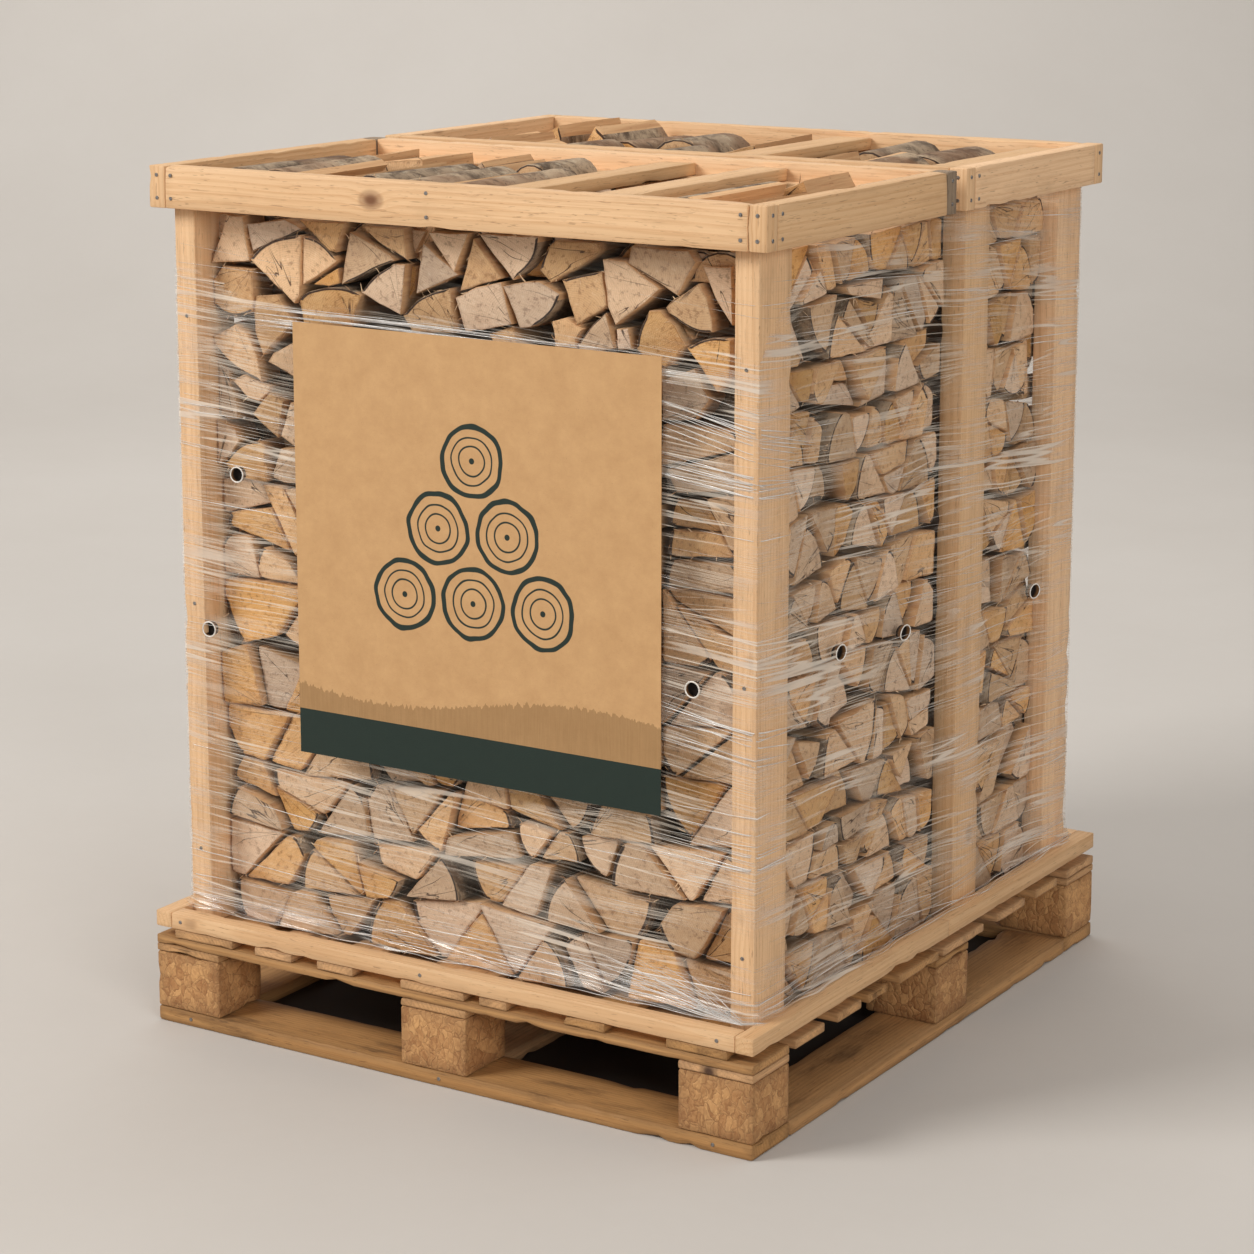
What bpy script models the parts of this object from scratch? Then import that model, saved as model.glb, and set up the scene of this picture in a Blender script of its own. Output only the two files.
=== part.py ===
"""Pallet of firewood: split beech logs stacked in two wooden crates on a four-way block pallet.

Metres, +Z up.  The origin is on the floor under the middle of the pallet, the front faces -Y and
the right side faces +X.
"""

import math
import random

import bmesh
import bpy
from mathutils import Vector
from mathutils.geometry import delaunay_2d_cdt

# Driving dimensions.  GAP is the air left between two pieces that touch on the real load.
PALLET_WIDTH = 1.000
PALLET_DEPTH = 1.070
LOAD_HEIGHT = 1.247
GAP = 0.0003

# Heights of the pallet's layers, from the floor up.
BOTTOM_BOARD_TOP = 0.022
BLOCK_TOP = 0.118
CROSS_BOARD_TOP = 0.131
DECK_BOARD_TOP = 0.144
BASE_RAIL_TOP = 0.168

# Blocks: where each of the three columns and rows starts and ends, from the pallet's middle.
BLOCK_COLUMNS = {"left": (-0.500, -0.386), "centre": (-0.064, 0.046), "right": (0.386, 0.500)}
BLOCK_ROWS = {"front": (-0.535, -0.437), "middle": (-0.008, 0.096), "back": (0.437, 0.535)}

# Cross boards run left to right on the blocks, deck boards run front to back on the cross boards.
CROSS_BOARD_SPANS = (
    (-0.535, -0.437),
    (-0.421, -0.340),
    (-0.303, -0.235),
    (-0.214, -0.160),
    (-0.122, 0.000),
    (0.014, 0.146),
    (0.193, 0.287),
    (0.325, 0.401),
    (0.437, 0.535),
)
DECK_BOARD_SPANS = (
    (-0.466, -0.360),
    (-0.320, -0.254),
    (-0.209, -0.146),
    (-0.064, 0.044),
    (0.068, 0.114),
    (0.206, 0.271),
    (0.367, 0.461),
)

BASE_RAIL_WIDTH = 0.0277
CRATE_SPLIT_Y = 0.032

# Crate posts stand on the base rails' line.  Their outer faces are inset from the pallet's edge.
POST_OUTER_X = 0.472
POST_THICKNESS = 0.036
POST_ROWS = {"front": (-0.485, -0.401), "middle": (0.095, 0.173), "back": (0.403, 0.483)}
POST_TOP = 1.1877

# Top frames, one for the front crate and one for the back crate.
FRAME_OUTER_X = 0.496
FRAME_BOTTOM = 1.188
RAIL_THICKNESS = 0.028
FRAME_ROWS = {"front": (-0.509, 0.017), "back": (0.047, 0.505)}
SLAT_THICKNESS = 0.018
SLAT_TOP = 1.240

# Log stacks: a core, and log ends that stand out from the core's sides by up to LOG_END_REACH.
STACK_HALF_WIDTH = 0.4355
STACK_BOTTOM = 0.1445
STACK_TOP = 1.178
STACK_ROWS = {"front": (-0.440, 0.0767), "back": (0.077, 0.450)}
LOG_END_SIZE = 0.088
LOG_END_REACH = 0.0145
LOG_END_GAP = 0.0045
TOP_LOG_REACH = 0.040

FILM_THICKNESS = 0.0012
SIGN_WIDTH = 0.595
SIGN_HEIGHT = 0.612
SIGN_LEFT = -0.265
SIGN_BOTTOM = 0.430
SIGN_THICKNESS = 0.0014

PART_NAME = "pallet_of_firewood"


def clear_scene():
    """Remove every object, mesh and material that the open scene holds."""
    for item in list(bpy.data.objects):
        bpy.data.objects.remove(item, do_unlink=True)
    for mesh in list(bpy.data.meshes):
        bpy.data.meshes.remove(mesh)
    for material in list(bpy.data.materials):
        bpy.data.materials.remove(material)


def linear(value):
    """Turn one sRGB channel from 0 to 255 into linear light."""
    share = value / 255.0
    if share <= 0.04045:
        return share / 12.92
    return ((share + 0.055) / 1.055) ** 2.4


def make_material(name, red, green, blue, roughness, metallic=0.0):
    """Make a Principled material from an sRGB colour."""
    material = bpy.data.materials.new(name)
    material.use_nodes = True
    shader = material.node_tree.nodes["Principled BSDF"]
    colour = (linear(red), linear(green), linear(blue), 1.0)
    shader.inputs["Base Color"].default_value = colour
    shader.inputs["Roughness"].default_value = roughness
    shader.inputs["Metallic"].default_value = metallic
    material.diffuse_color = colour
    return material


def link_object(name, mesh, material, collection, parent, place):
    """Put a mesh into the scene as a named object, and give it its material and parent."""
    piece = bpy.data.objects.new(name, mesh)
    collection.objects.link(piece)
    piece.parent = parent
    piece.location = place
    mesh.materials.append(material)
    return piece


class Workshop:
    """Adds pieces to one collection under one parent."""

    def __init__(self, collection, parent):
        self.collection = collection
        self.parent = parent

    def board(self, name, low, high, material, chamfer=0.0):
        """Add a sawn board that fills the box from low to high, with its edges taken off."""
        low = Vector(low)
        high = Vector(high)
        size = high - low
        work = bmesh.new()
        bmesh.ops.create_cube(work, size=1.0)
        bmesh.ops.scale(work, vec=size, verts=work.verts)
        if chamfer > 0.0:
            bmesh.ops.bevel(work, geom=work.edges[:], offset=chamfer, segments=1, affect="EDGES")
        bmesh.ops.recalc_face_normals(work, faces=work.faces)
        mesh = bpy.data.meshes.new(name)
        work.to_mesh(mesh)
        work.free()
        return link_object(name, mesh, material, self.collection, self.parent, (low + high) / 2.0)


def clip_polygon(polygon, point, normal):
    """Keep the part of a convex polygon on the side of a line that its normal points away from."""
    kept = []
    count = len(polygon)
    for index in range(count):
        here = polygon[index]
        there = polygon[(index + 1) % count]
        here_side = (here - point).dot(normal)
        there_side = (there - point).dot(normal)
        if here_side <= 0.0:
            kept.append(here)
        if (here_side < 0.0 < there_side) or (there_side < 0.0 < here_side):
            share = here_side / (here_side - there_side)
            kept.append(here.lerp(there, share))
    return kept


def polygon_area(polygon):
    """Signed area of a polygon, positive when it runs anticlockwise."""
    total = 0.0
    count = len(polygon)
    for index in range(count):
        here = polygon[index]
        there = polygon[(index + 1) % count]
        total += here.x * there.y - there.x * here.y
    return total / 2.0


def polygon_centre(polygon):
    """Mean of a polygon's corners."""
    total = Vector((0.0, 0.0))
    for corner in polygon:
        total += corner
    return total / len(polygon)


def drop_short_sides(polygon, shortest):
    """Merge corners of a polygon that stand closer together than shortest."""
    corners = list(polygon)
    index = 0
    while index < len(corners) and len(corners) > 3:
        here = corners[index]
        there = corners[(index + 1) % len(corners)]
        if (there - here).length < shortest:
            corners[index] = here.lerp(there, 0.5)
            corners.pop((index + 1) % len(corners))
            index = 0
        else:
            index += 1
    return corners


def shrink_polygon(polygon, distance):
    """Move each side of a convex polygon inward by the same distance."""
    shrunk = list(polygon)
    count = len(polygon)
    for index in range(count):
        here = polygon[index]
        there = polygon[(index + 1) % count]
        along = (there - here).normalized()
        outward = Vector((along.y, -along.x))
        shrunk = clip_polygon(shrunk, here - outward * distance, outward)
        if len(shrunk) < 3:
            return []
    return shrunk


def round_log_cells(left, right, bottom, top, spacing, chance):
    """Cover a rectangle with the cells of round logs set in a loose staggered pattern."""
    seeds = []
    rows = max(1, round((top - bottom) / (spacing * 0.88)))
    columns = max(1, round((right - left) / spacing))
    row_height = (top - bottom) / rows
    column_width = (right - left) / columns
    for row in range(rows):
        offset = 0.25 if row % 2 else -0.25
        for column in range(columns):
            across = left + (column + 0.5 + offset + chance.uniform(-0.27, 0.27)) * column_width
            up = bottom + (row + 0.5 + chance.uniform(-0.27, 0.27)) * row_height
            seeds.append(Vector((across, up)))
    frame = [
        Vector((left, bottom)),
        Vector((right, bottom)),
        Vector((right, top)),
        Vector((left, top)),
    ]
    cells = []
    for seed in seeds:
        cell = frame
        for other in seeds:
            distance = (other - seed).length
            if 0.0 < distance < spacing * 3.5:
                cell = clip_polygon(cell, (seed + other) / 2.0, (other - seed) / distance)
        if len(cell) >= 3:
            cells.append(cell)
    return cells


def split_cell(cell, chance):
    """Split a log's cell along a line near its middle, as an axe does."""
    centre = polygon_centre(cell)
    best = None
    for attempt in range(3):
        angle = chance.uniform(0.0, math.pi)
        normal = Vector((math.cos(angle), math.sin(angle)))
        shift = Vector((chance.uniform(-1.0, 1.0), chance.uniform(-1.0, 1.0))) * 0.010
        first = clip_polygon(cell, centre + shift, normal)
        second = clip_polygon(cell, centre + shift, -normal)
        if len(first) < 3 or len(second) < 3:
            continue
        evenness = min(abs(polygon_area(first)), abs(polygon_area(second)))
        if best is None or evenness > best[0]:
            best = (evenness, first, second)
    return [best[1], best[2]]


def log_end_cells(left, right, bottom, top, size, seed):
    """Cover a rectangle with the outlines of split logs seen end on."""
    chance = random.Random(seed)
    cells = []
    for round_cell in round_log_cells(left, right, bottom, top, size * 1.5, chance):
        for half in split_cell(round_cell, chance):
            if abs(polygon_area(half)) > size * size * 1.35:
                cells.extend(split_cell(half, chance))
            else:
                cells.append(half)
    return cells


def add_relief(work, corner, across, up, width, height, cells, caps):
    """Add one side of a log stack: a rectangle with a raised cap on each cell.

    corner, across and up place the rectangle, cells are the low outlines between the caps and
    caps holds pairs of an outline and its height over the rectangle.
    """
    outward = across.cross(up)
    points = [
        Vector((0.0, 0.0)),
        Vector((width, 0.0)),
        Vector((width, height)),
        Vector((0.0, height)),
    ]
    levels = [0.0, 0.0, 0.0, 0.0]
    edges = [(0, 1), (1, 2), (2, 3), (3, 0)]
    outlines = [(cell, 0.0) for cell in cells] + list(caps)
    for outline, level in outlines:
        first = len(points)
        for index, point in enumerate(outline):
            points.append(point)
            levels.append(level)
            edges.append((first + index, first + (index + 1) % len(outline)))
    found = delaunay_2d_cdt(points, edges, [], 0, 0.0002)
    flat_points, triangles, sources = found[0], found[2], found[3]
    verts = []
    for point, source in zip(flat_points, sources):
        level = max((levels[index] for index in source), default=0.0)
        verts.append(work.verts.new(corner + across * point.x + up * point.y + outward * level))
    for triangle in triangles:
        work.faces.new([verts[index] for index in triangle])


def side_outlines(width, height, margin_left, margin_right, seed):
    """Make the cells and the caps of one side of a stack, in that side's own plane."""
    chance = random.Random(seed + 1000)
    edge = 0.002
    cells = log_end_cells(margin_left, width - margin_right, edge, height - edge, LOG_END_SIZE, seed)
    caps = []
    for cell in cells:
        cap = drop_short_sides(shrink_polygon(cell, LOG_END_GAP), 0.016)
        if len(cap) >= 3 and abs(polygon_area(cap)) > 0.0006:
            caps.append((cap, LOG_END_REACH - chance.uniform(0.0, 0.007)))
    return cells, caps


def top_outlines(width, rows, seed):
    """Make the cells and the caps of the logs that lie on top of a stack."""
    chance = random.Random(seed)
    cells = []
    caps = []
    for low, high in rows:
        left = 0.004
        while left < width - 0.050:
            right = min(left + chance.uniform(0.075, 0.120), width - 0.004)
            near = low + chance.uniform(0.0, 0.014)
            far = high - chance.uniform(0.0, 0.014)
            cell = [Vector((left, near)), Vector((right, near)), Vector((right, far)), Vector((left, far))]
            inset = (right - left) * 0.27
            cap = [
                Vector((left + inset, near + 0.004)),
                Vector((right - inset, near + 0.004)),
                Vector((right - inset, far - 0.004)),
                Vector((left + inset, far - 0.004)),
            ]
            cells.append(cell)
            caps.append((cap, TOP_LOG_REACH - chance.uniform(0.0, 0.016)))
            left = right + 0.003
    return cells, caps


def log_stack(name, rows, front, back, side_span, top_rows, seed, material, workshop):
    """Add a stack of logs: log ends on its sides and lying logs on its top.

    rows is the stack's reach from front to back, front and back say whether that side shows log
    ends, and side_span is the stretch of the left and right sides that does.
    """
    near, far = rows
    width = STACK_HALF_WIDTH * 2.0
    depth = far - near
    height = STACK_TOP - STACK_BOTTOM
    rightward = Vector((1.0, 0.0, 0.0))
    away = Vector((0.0, 1.0, 0.0))
    up = Vector((0.0, 0.0, 1.0))
    bottom_left = Vector((-STACK_HALF_WIDTH, near, STACK_BOTTOM))
    bottom_right = Vector((STACK_HALF_WIDTH, near, STACK_BOTTOM))
    far_left = Vector((-STACK_HALF_WIDTH, far, STACK_BOTTOM))
    far_right = Vector((STACK_HALF_WIDTH, far, STACK_BOTTOM))
    start = side_span[0] - near
    end = far - side_span[1]
    work = bmesh.new()
    cells, caps = side_outlines(width, height, 0.002, 0.002, seed) if front else ([], [])
    add_relief(work, bottom_left, rightward, up, width, height, cells, caps)
    cells, caps = side_outlines(width, height, 0.002, 0.002, seed + 1) if back else ([], [])
    add_relief(work, far_right, -rightward, up, width, height, cells, caps)
    cells, caps = side_outlines(depth, height, start, end, seed + 2)
    add_relief(work, bottom_right, away, up, depth, height, cells, caps)
    cells, caps = side_outlines(depth, height, end, start, seed + 3)
    add_relief(work, far_left, -away, up, depth, height, cells, caps)
    cells, caps = top_outlines(width, [(low - near, high - near) for low, high in top_rows], seed + 4)
    add_relief(work, bottom_left + up * height, rightward, away, width, depth, cells, caps)
    add_relief(work, far_left, rightward, -away, width, depth, [], [])
    bmesh.ops.remove_doubles(work, verts=work.verts, dist=0.00001)
    mesh = bpy.data.meshes.new(name)
    work.to_mesh(mesh)
    work.free()
    return link_object(name, mesh, material, workshop.collection, workshop.parent, (0.0, 0.0, 0.0))


def film_wrap(name, material, workshop):
    """Add the stretch film: a thin open tube that hugs the posts."""
    inner_x = POST_OUTER_X + GAP
    front = POST_ROWS["front"][0] - GAP
    back = POST_ROWS["back"][1] + GAP
    low = BASE_RAIL_TOP + GAP
    high = FRAME_BOTTOM - GAP
    size = Vector((inner_x * 2.0, back - front, high - low))
    work = bmesh.new()
    bmesh.ops.create_cube(work, size=1.0)
    bmesh.ops.scale(work, vec=size, verts=work.verts)
    ends = [face for face in work.faces if abs(face.normal.z) > 0.5]
    bmesh.ops.delete(work, geom=ends, context="FACES_ONLY")
    mesh = bpy.data.meshes.new(name)
    work.to_mesh(mesh)
    work.free()
    place = (0.0, (front + back) / 2.0, (low + high) / 2.0)
    film = link_object(name, mesh, material, workshop.collection, workshop.parent, place)
    shell = film.modifiers.new("Thickness", "SOLIDIFY")
    shell.thickness = FILM_THICKNESS
    shell.offset = 1.0
    shell.use_even_offset = True
    return film


def build_pallet(workshop, board_wood, block_wood):
    """Add the pallet: bottom boards, blocks, cross boards and deck boards."""
    half_width = PALLET_WIDTH / 2.0
    half_depth = PALLET_DEPTH / 2.0
    runner = 0.100
    thickness = (0.0, BOTTOM_BOARD_TOP)
    for name, near, far in (
        ("Bottom_board_front", -half_depth, -half_depth + runner),
        ("Bottom_board_back", half_depth - runner, half_depth),
    ):
        low = (-half_width, near, thickness[0])
        high = (half_width, far, thickness[1])
        workshop.board(name, low, high, board_wood, 0.002)
    for name, left, right in (
        ("Bottom_board_left", -half_width, -half_width + runner),
        ("Bottom_board_centre", BLOCK_COLUMNS["centre"][0] + 0.005, BLOCK_COLUMNS["centre"][1] - 0.005),
        ("Bottom_board_right", half_width - runner, half_width),
    ):
        low = (left, -half_depth + runner + GAP, thickness[0])
        high = (right, half_depth - runner - GAP, thickness[1])
        workshop.board(name, low, high, board_wood, 0.002)
    for row, (near, far) in BLOCK_ROWS.items():
        for column, (left, right) in BLOCK_COLUMNS.items():
            low = (left, near, BOTTOM_BOARD_TOP + GAP)
            high = (right, far, BLOCK_TOP - GAP)
            workshop.board("Block_%s_%s" % (row, column), low, high, block_wood, 0.003)
    for number, (near, far) in enumerate(CROSS_BOARD_SPANS, start=1):
        low = (-half_width, near, BLOCK_TOP)
        high = (half_width, far, CROSS_BOARD_TOP)
        workshop.board("Cross_board_%d" % number, low, high, board_wood)
    for number, (left, right) in enumerate(DECK_BOARD_SPANS, start=1):
        low = (left, -half_depth, CROSS_BOARD_TOP + GAP)
        high = (right, half_depth, DECK_BOARD_TOP - GAP)
        workshop.board("Deck_board_%d" % number, low, high, board_wood)


def build_crates(workshop, pine):
    """Add the crates' base rails, posts, top frames, laths and slats."""
    half_width = PALLET_WIDTH / 2.0
    half_depth = PALLET_DEPTH / 2.0
    inner_x = half_width - BASE_RAIL_WIDTH - GAP
    for name, near, far in (
        ("Base_rail_front", -half_depth, -half_depth + BASE_RAIL_WIDTH),
        ("Base_rail_back", half_depth - BASE_RAIL_WIDTH, half_depth),
    ):
        workshop.board(name, (-inner_x, near, DECK_BOARD_TOP), (inner_x, far, BASE_RAIL_TOP), pine, 0.003)
    for side, sign in (("left", -1.0), ("right", 1.0)):
        left = min(sign * half_width, sign * (half_width - BASE_RAIL_WIDTH))
        right = left + BASE_RAIL_WIDTH
        for row, near, far in (
            ("front", -half_depth, CRATE_SPLIT_Y - GAP),
            ("back", CRATE_SPLIT_Y + GAP, half_depth),
        ):
            name = "Base_rail_%s_%s" % (side, row)
            workshop.board(name, (left, near, DECK_BOARD_TOP), (right, far, BASE_RAIL_TOP), pine, 0.003)
        post_left = min(sign * POST_OUTER_X, sign * (POST_OUTER_X - POST_THICKNESS))
        for row, (near, far) in POST_ROWS.items():
            low = (post_left, near, DECK_BOARD_TOP)
            high = (post_left + POST_THICKNESS, far, POST_TOP)
            workshop.board("Post_%s_%s" % (row, side), low, high, pine, 0.0015)
    for row, (near, far) in FRAME_ROWS.items():
        rail_x = FRAME_OUTER_X - RAIL_THICKNESS - GAP
        for place, rail_near in (("front", near), ("back", far - RAIL_THICKNESS)):
            low = (-rail_x, rail_near, FRAME_BOTTOM)
            high = (rail_x, rail_near + RAIL_THICKNESS, LOAD_HEIGHT)
            workshop.board("Top_rail_%s_crate_%s" % (row, place), low, high, pine, 0.0015)
        for side, sign in (("left", -1.0), ("right", 1.0)):
            left = min(sign * FRAME_OUTER_X, sign * (FRAME_OUTER_X - RAIL_THICKNESS))
            low = (left, near, FRAME_BOTTOM)
            high = (left + RAIL_THICKNESS, far, LOAD_HEIGHT)
            workshop.board("Top_rail_%s_crate_%s" % (row, side), low, high, pine, 0.0015)
    slat_bottom = SLAT_TOP - SLAT_THICKNESS
    lath_x = FRAME_OUTER_X - RAIL_THICKNESS - GAP
    front_near = FRAME_ROWS["front"][0] + RAIL_THICKNESS + GAP
    front_far = FRAME_ROWS["front"][1] - RAIL_THICKNESS - GAP
    back_near = FRAME_ROWS["back"][0] + RAIL_THICKNESS + GAP
    back_far = FRAME_ROWS["back"][1] - RAIL_THICKNESS - GAP
    lath_top = slat_bottom - GAP
    for name, near, far in (
        ("Lath_front", front_near, front_near + 0.040),
        ("Lath_rear", front_far - 0.026, front_far),
    ):
        workshop.board(name, (-lath_x, near, lath_top - 0.020), (lath_x, far, lath_top), pine)
    for name, left, right, near, far in (
        ("Slat_front_left", 0.046, 0.096, front_near, front_far),
        ("Slat_front_right", 0.196, 0.246, front_near, front_far),
        ("Slat_back", 0.062, 0.120, back_near, back_far),
        ("Slat_back_side", FRAME_OUTER_X - 0.100, lath_x, back_near, back_far),
    ):
        workshop.board(name, (left, near, slat_bottom), (right, far, SLAT_TOP), pine, 0.001)


def main():
    """Build the whole load."""
    clear_scene()
    collection = bpy.data.collections.new(PART_NAME)
    bpy.context.scene.collection.children.link(collection)
    parent = bpy.data.objects.new("Pallet_of_firewood", None)
    collection.objects.link(parent)
    workshop = Workshop(collection, parent)

    pallet_wood = make_material("pallet_wood", 176, 128, 78, 0.78)
    block_wood = make_material("pallet_block", 170, 122, 72, 0.82)
    crate_pine = make_material("crate_pine", 205, 165, 118, 0.62)
    split_beech = make_material("split_beech", 186, 146, 108, 0.80)
    film_plastic = make_material("stretch_film", 222, 214, 205, 0.15)
    sign_card = make_material("sign_card", 184, 142, 94, 0.70)

    build_pallet(workshop, pallet_wood, block_wood)
    build_crates(workshop, crate_pine)
    log_stack(
        "Log_stack_front", STACK_ROWS["front"], True, False, (-0.398, 0.074),
        ((-0.436, -0.190), (-0.180, -0.042)), 11, split_beech, workshop,
    )
    log_stack(
        "Log_stack_back", STACK_ROWS["back"], False, True, (0.176, 0.400),
        ((0.084, 0.250), (0.258, 0.446)), 47, split_beech, workshop,
    )
    film_wrap("Stretch_film", film_plastic, workshop)
    sign_back = POST_ROWS["front"][0] - GAP - FILM_THICKNESS - GAP
    workshop.board(
        "Sign",
        (SIGN_LEFT, sign_back - SIGN_THICKNESS, SIGN_BOTTOM),
        (SIGN_LEFT + SIGN_WIDTH, sign_back, SIGN_BOTTOM + SIGN_HEIGHT),
        sign_card,
    )


main()
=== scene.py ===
# %% [markdown]
# Pallet of firewood. Split beech logs are stacked in two pine crates on a block pallet, and clear stretch
# film is wound round them. The solids that were packed give the size and the place of every piece. This
# lesson dresses them: it makes each board, log, sheet of film and nail as a mesh with a wood, bark, film,
# card or steel finish made of nodes.

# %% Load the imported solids
import math
import random

import bpy
import numpy as np
from mathutils import Euler, Matrix, Vector, noise


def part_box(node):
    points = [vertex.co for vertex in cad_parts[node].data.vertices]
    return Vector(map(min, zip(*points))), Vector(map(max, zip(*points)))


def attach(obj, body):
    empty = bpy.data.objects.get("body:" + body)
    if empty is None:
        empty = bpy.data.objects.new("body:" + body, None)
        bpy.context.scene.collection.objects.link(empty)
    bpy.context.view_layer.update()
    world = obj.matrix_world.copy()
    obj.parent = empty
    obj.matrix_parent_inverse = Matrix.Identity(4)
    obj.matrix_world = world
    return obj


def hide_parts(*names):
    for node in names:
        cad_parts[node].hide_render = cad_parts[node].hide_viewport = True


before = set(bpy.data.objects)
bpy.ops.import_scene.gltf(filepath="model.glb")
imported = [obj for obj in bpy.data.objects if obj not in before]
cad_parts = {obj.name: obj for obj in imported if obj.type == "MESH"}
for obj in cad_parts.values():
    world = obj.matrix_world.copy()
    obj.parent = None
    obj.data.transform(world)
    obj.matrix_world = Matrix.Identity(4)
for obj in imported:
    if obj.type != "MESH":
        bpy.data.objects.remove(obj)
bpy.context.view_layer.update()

# %% [markdown]
# The camera. The photograph looks at the front right corner from a little above the load. The view was
# worked out from the load's own edges: a long lens, about 4.9 m away. The lens looks slightly down and its
# axis is above the picture's middle, which a small vertical shift gives.

# %% Camera
LENS_MM = 94.2
SENSOR_MM = 36.0
CAMERA_PLACE = (2.498, -4.034, 1.691)
CAMERA_TURN = 32.05
CAMERA_DIP = 11.40
LENS_SHIFT = -0.10

camera_data = bpy.data.cameras.new("Camera")
camera_data.lens = LENS_MM
camera_data.sensor_width = SENSOR_MM
camera_data.shift_y = LENS_SHIFT
camera_data.clip_start = 0.1
camera_data.clip_end = 60.0
camera = bpy.data.objects.new("Camera", camera_data)
camera.location = CAMERA_PLACE
camera.rotation_euler = (math.radians(90.0 - CAMERA_DIP), 0.0, math.radians(CAMERA_TURN))
bpy.context.scene.collection.objects.link(camera)
bpy.context.scene.camera = camera
print("camera stands", round(Vector(CAMERA_PLACE).length, 2), "m from the pallet's middle")

# %% [markdown]
# A finish is a material made of nodes. Wiring nodes one call at a time is long, so one helper adds a node,
# sets its fields and fills its inputs: a number or a colour goes into the socket, and an output is linked.

# %% Helpers for finishes


def linear(red, green, blue):
    """Turn an sRGB colour with channels from 0 to 255 into the linear colour that shaders use."""
    channels = []
    for value in (red, green, blue):
        share = value / 255.0
        channels.append(share / 12.92 if share <= 0.04045 else ((share + 0.055) / 1.055) ** 2.4)
    return (channels[0], channels[1], channels[2], 1.0)


def add(tree, kind, inputs=None, **fields):
    """Add one shader node, set its fields, and fill or link its inputs by name or number."""
    made = tree.nodes.new("ShaderNode" + kind)
    for field, value in fields.items():
        setattr(made, field, value)
    for name, value in (inputs or {}).items():
        socket = made.inputs[name]
        if isinstance(value, bpy.types.NodeSocket):
            tree.links.new(value, socket)
        else:
            socket.default_value = value
    return made


def maths(tree, operation, first, second=0.0, clamp=False):
    """Add a Math node and return its output."""
    return add(tree, "Math", {0: first, 1: second}, operation=operation, use_clamp=clamp).outputs[0]


def plus(tree, first, second, clamp=False):
    """Add two values."""
    return maths(tree, "ADD", first, second, clamp=clamp)


def minus(tree, first, second, clamp=False):
    """Take one value from another."""
    return maths(tree, "SUBTRACT", first, second, clamp=clamp)


def times(tree, first, second):
    """Multiply two values."""
    return maths(tree, "MULTIPLY", first, second)


def hypotenuse(tree, first, second):
    """Distance from two values at right angles."""
    return maths(tree, "SQRT", plus(tree, times(tree, first, first), times(tree, second, second)))


def blend_colour(tree, share, first, second):
    """Mix two colours by share and return the colour."""
    return add(tree, "Mix", {0: share, 6: first, 7: second}, data_type="RGBA").outputs[2]


def step_between(tree, value, low, high):
    """Return 0 below low, 1 above high and a smooth rise between them."""
    made = add(tree, "MapRange", {0: value, 1: low, 2: high}, interpolation_type="SMOOTHSTEP")
    return made.outputs[0]


def ranged(tree, value, low, high, start=0.0, end=1.0):
    """Turn a value between start and end into one between low and high."""
    return add(tree, "MapRange", {0: value, 1: start, 2: end, 3: low, 4: high}).outputs[0]


def spotted(tree, colour, value, low, high, share, ink):
    """Tint a colour with a second one, by share, where a value lies above a soft threshold."""
    amount = times(tree, step_between(tree, value, low, high), share)
    return blend_colour(tree, amount, colour, linear(*ink))


def read(tree, name, output="Vector"):
    """Read one of the values that the mesh code stored on the mesh."""
    made = add(tree, "Attribute", attribute_name=name, attribute_type="GEOMETRY")
    return made.outputs[output]


def parts_of(tree, vector):
    """Return the three parts of a vector."""
    return tuple(add(tree, "SeparateXYZ", {0: vector}).outputs)


def joined(tree, across, upward=0.0, along=0.0):
    """Make a vector from three parts."""
    return add(tree, "CombineXYZ", {0: across, 1: upward, 2: along}).outputs[0]


def scaled(tree, vector, size):
    """Stretch a place by three factors."""
    return add(tree, "VectorMath", {0: vector, 1: size}, operation="MULTIPLY").outputs[0]


def cloud(tree, vector, scale, detail=3.0, roughness=0.55, distortion=0.0):
    """Return the value of a noise texture."""
    shape = {"Detail": detail, "Roughness": roughness, "Distortion": distortion}
    return add(tree, "TexNoise", {"Vector": vector, "Scale": scale, **shape}).outputs[0]


def new_finish(name, roughness):
    """Make an empty material and return it with its node tree and its Principled shader."""
    material = bpy.data.materials.new(name)
    material.use_nodes = True
    shader = material.node_tree.nodes["Principled BSDF"]
    shader.inputs["Roughness"].default_value = roughness
    return material, material.node_tree, shader


def paint(tree, shader, colour, value, warmth=1.0):
    """Give the shader a colour, made darker or paler by value and duller or warmer by warmth."""
    shade = add(tree, "HueSaturation", {"Saturation": warmth, "Value": value, "Color": colour})
    tree.links.new(shade.outputs[0], shader.inputs["Base Color"])


def raise_surface(tree, shader, height, distance, strength):
    """Tilt the surface by a height map, in metres."""
    bump = add(tree, "Bump", {"Strength": strength, "Distance": distance, "Height": height})
    tree.links.new(bump.outputs[0], shader.inputs["Normal"])


# %% [markdown]
# Sawn softwood: the crates are fresh pine and the pallet is older, honey brown wood. Both are cut from a
# round trunk, so the finish works out growth rings round a pith that lies beside the board, and the faces
# and ends cut through them as a saw does. Each board's mesh stores where its points lie in the trunk. Knots
# push the rings aside, fine fibres run along the board, and dirt and wear gather at the edges.

# %% Sawn wood


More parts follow.
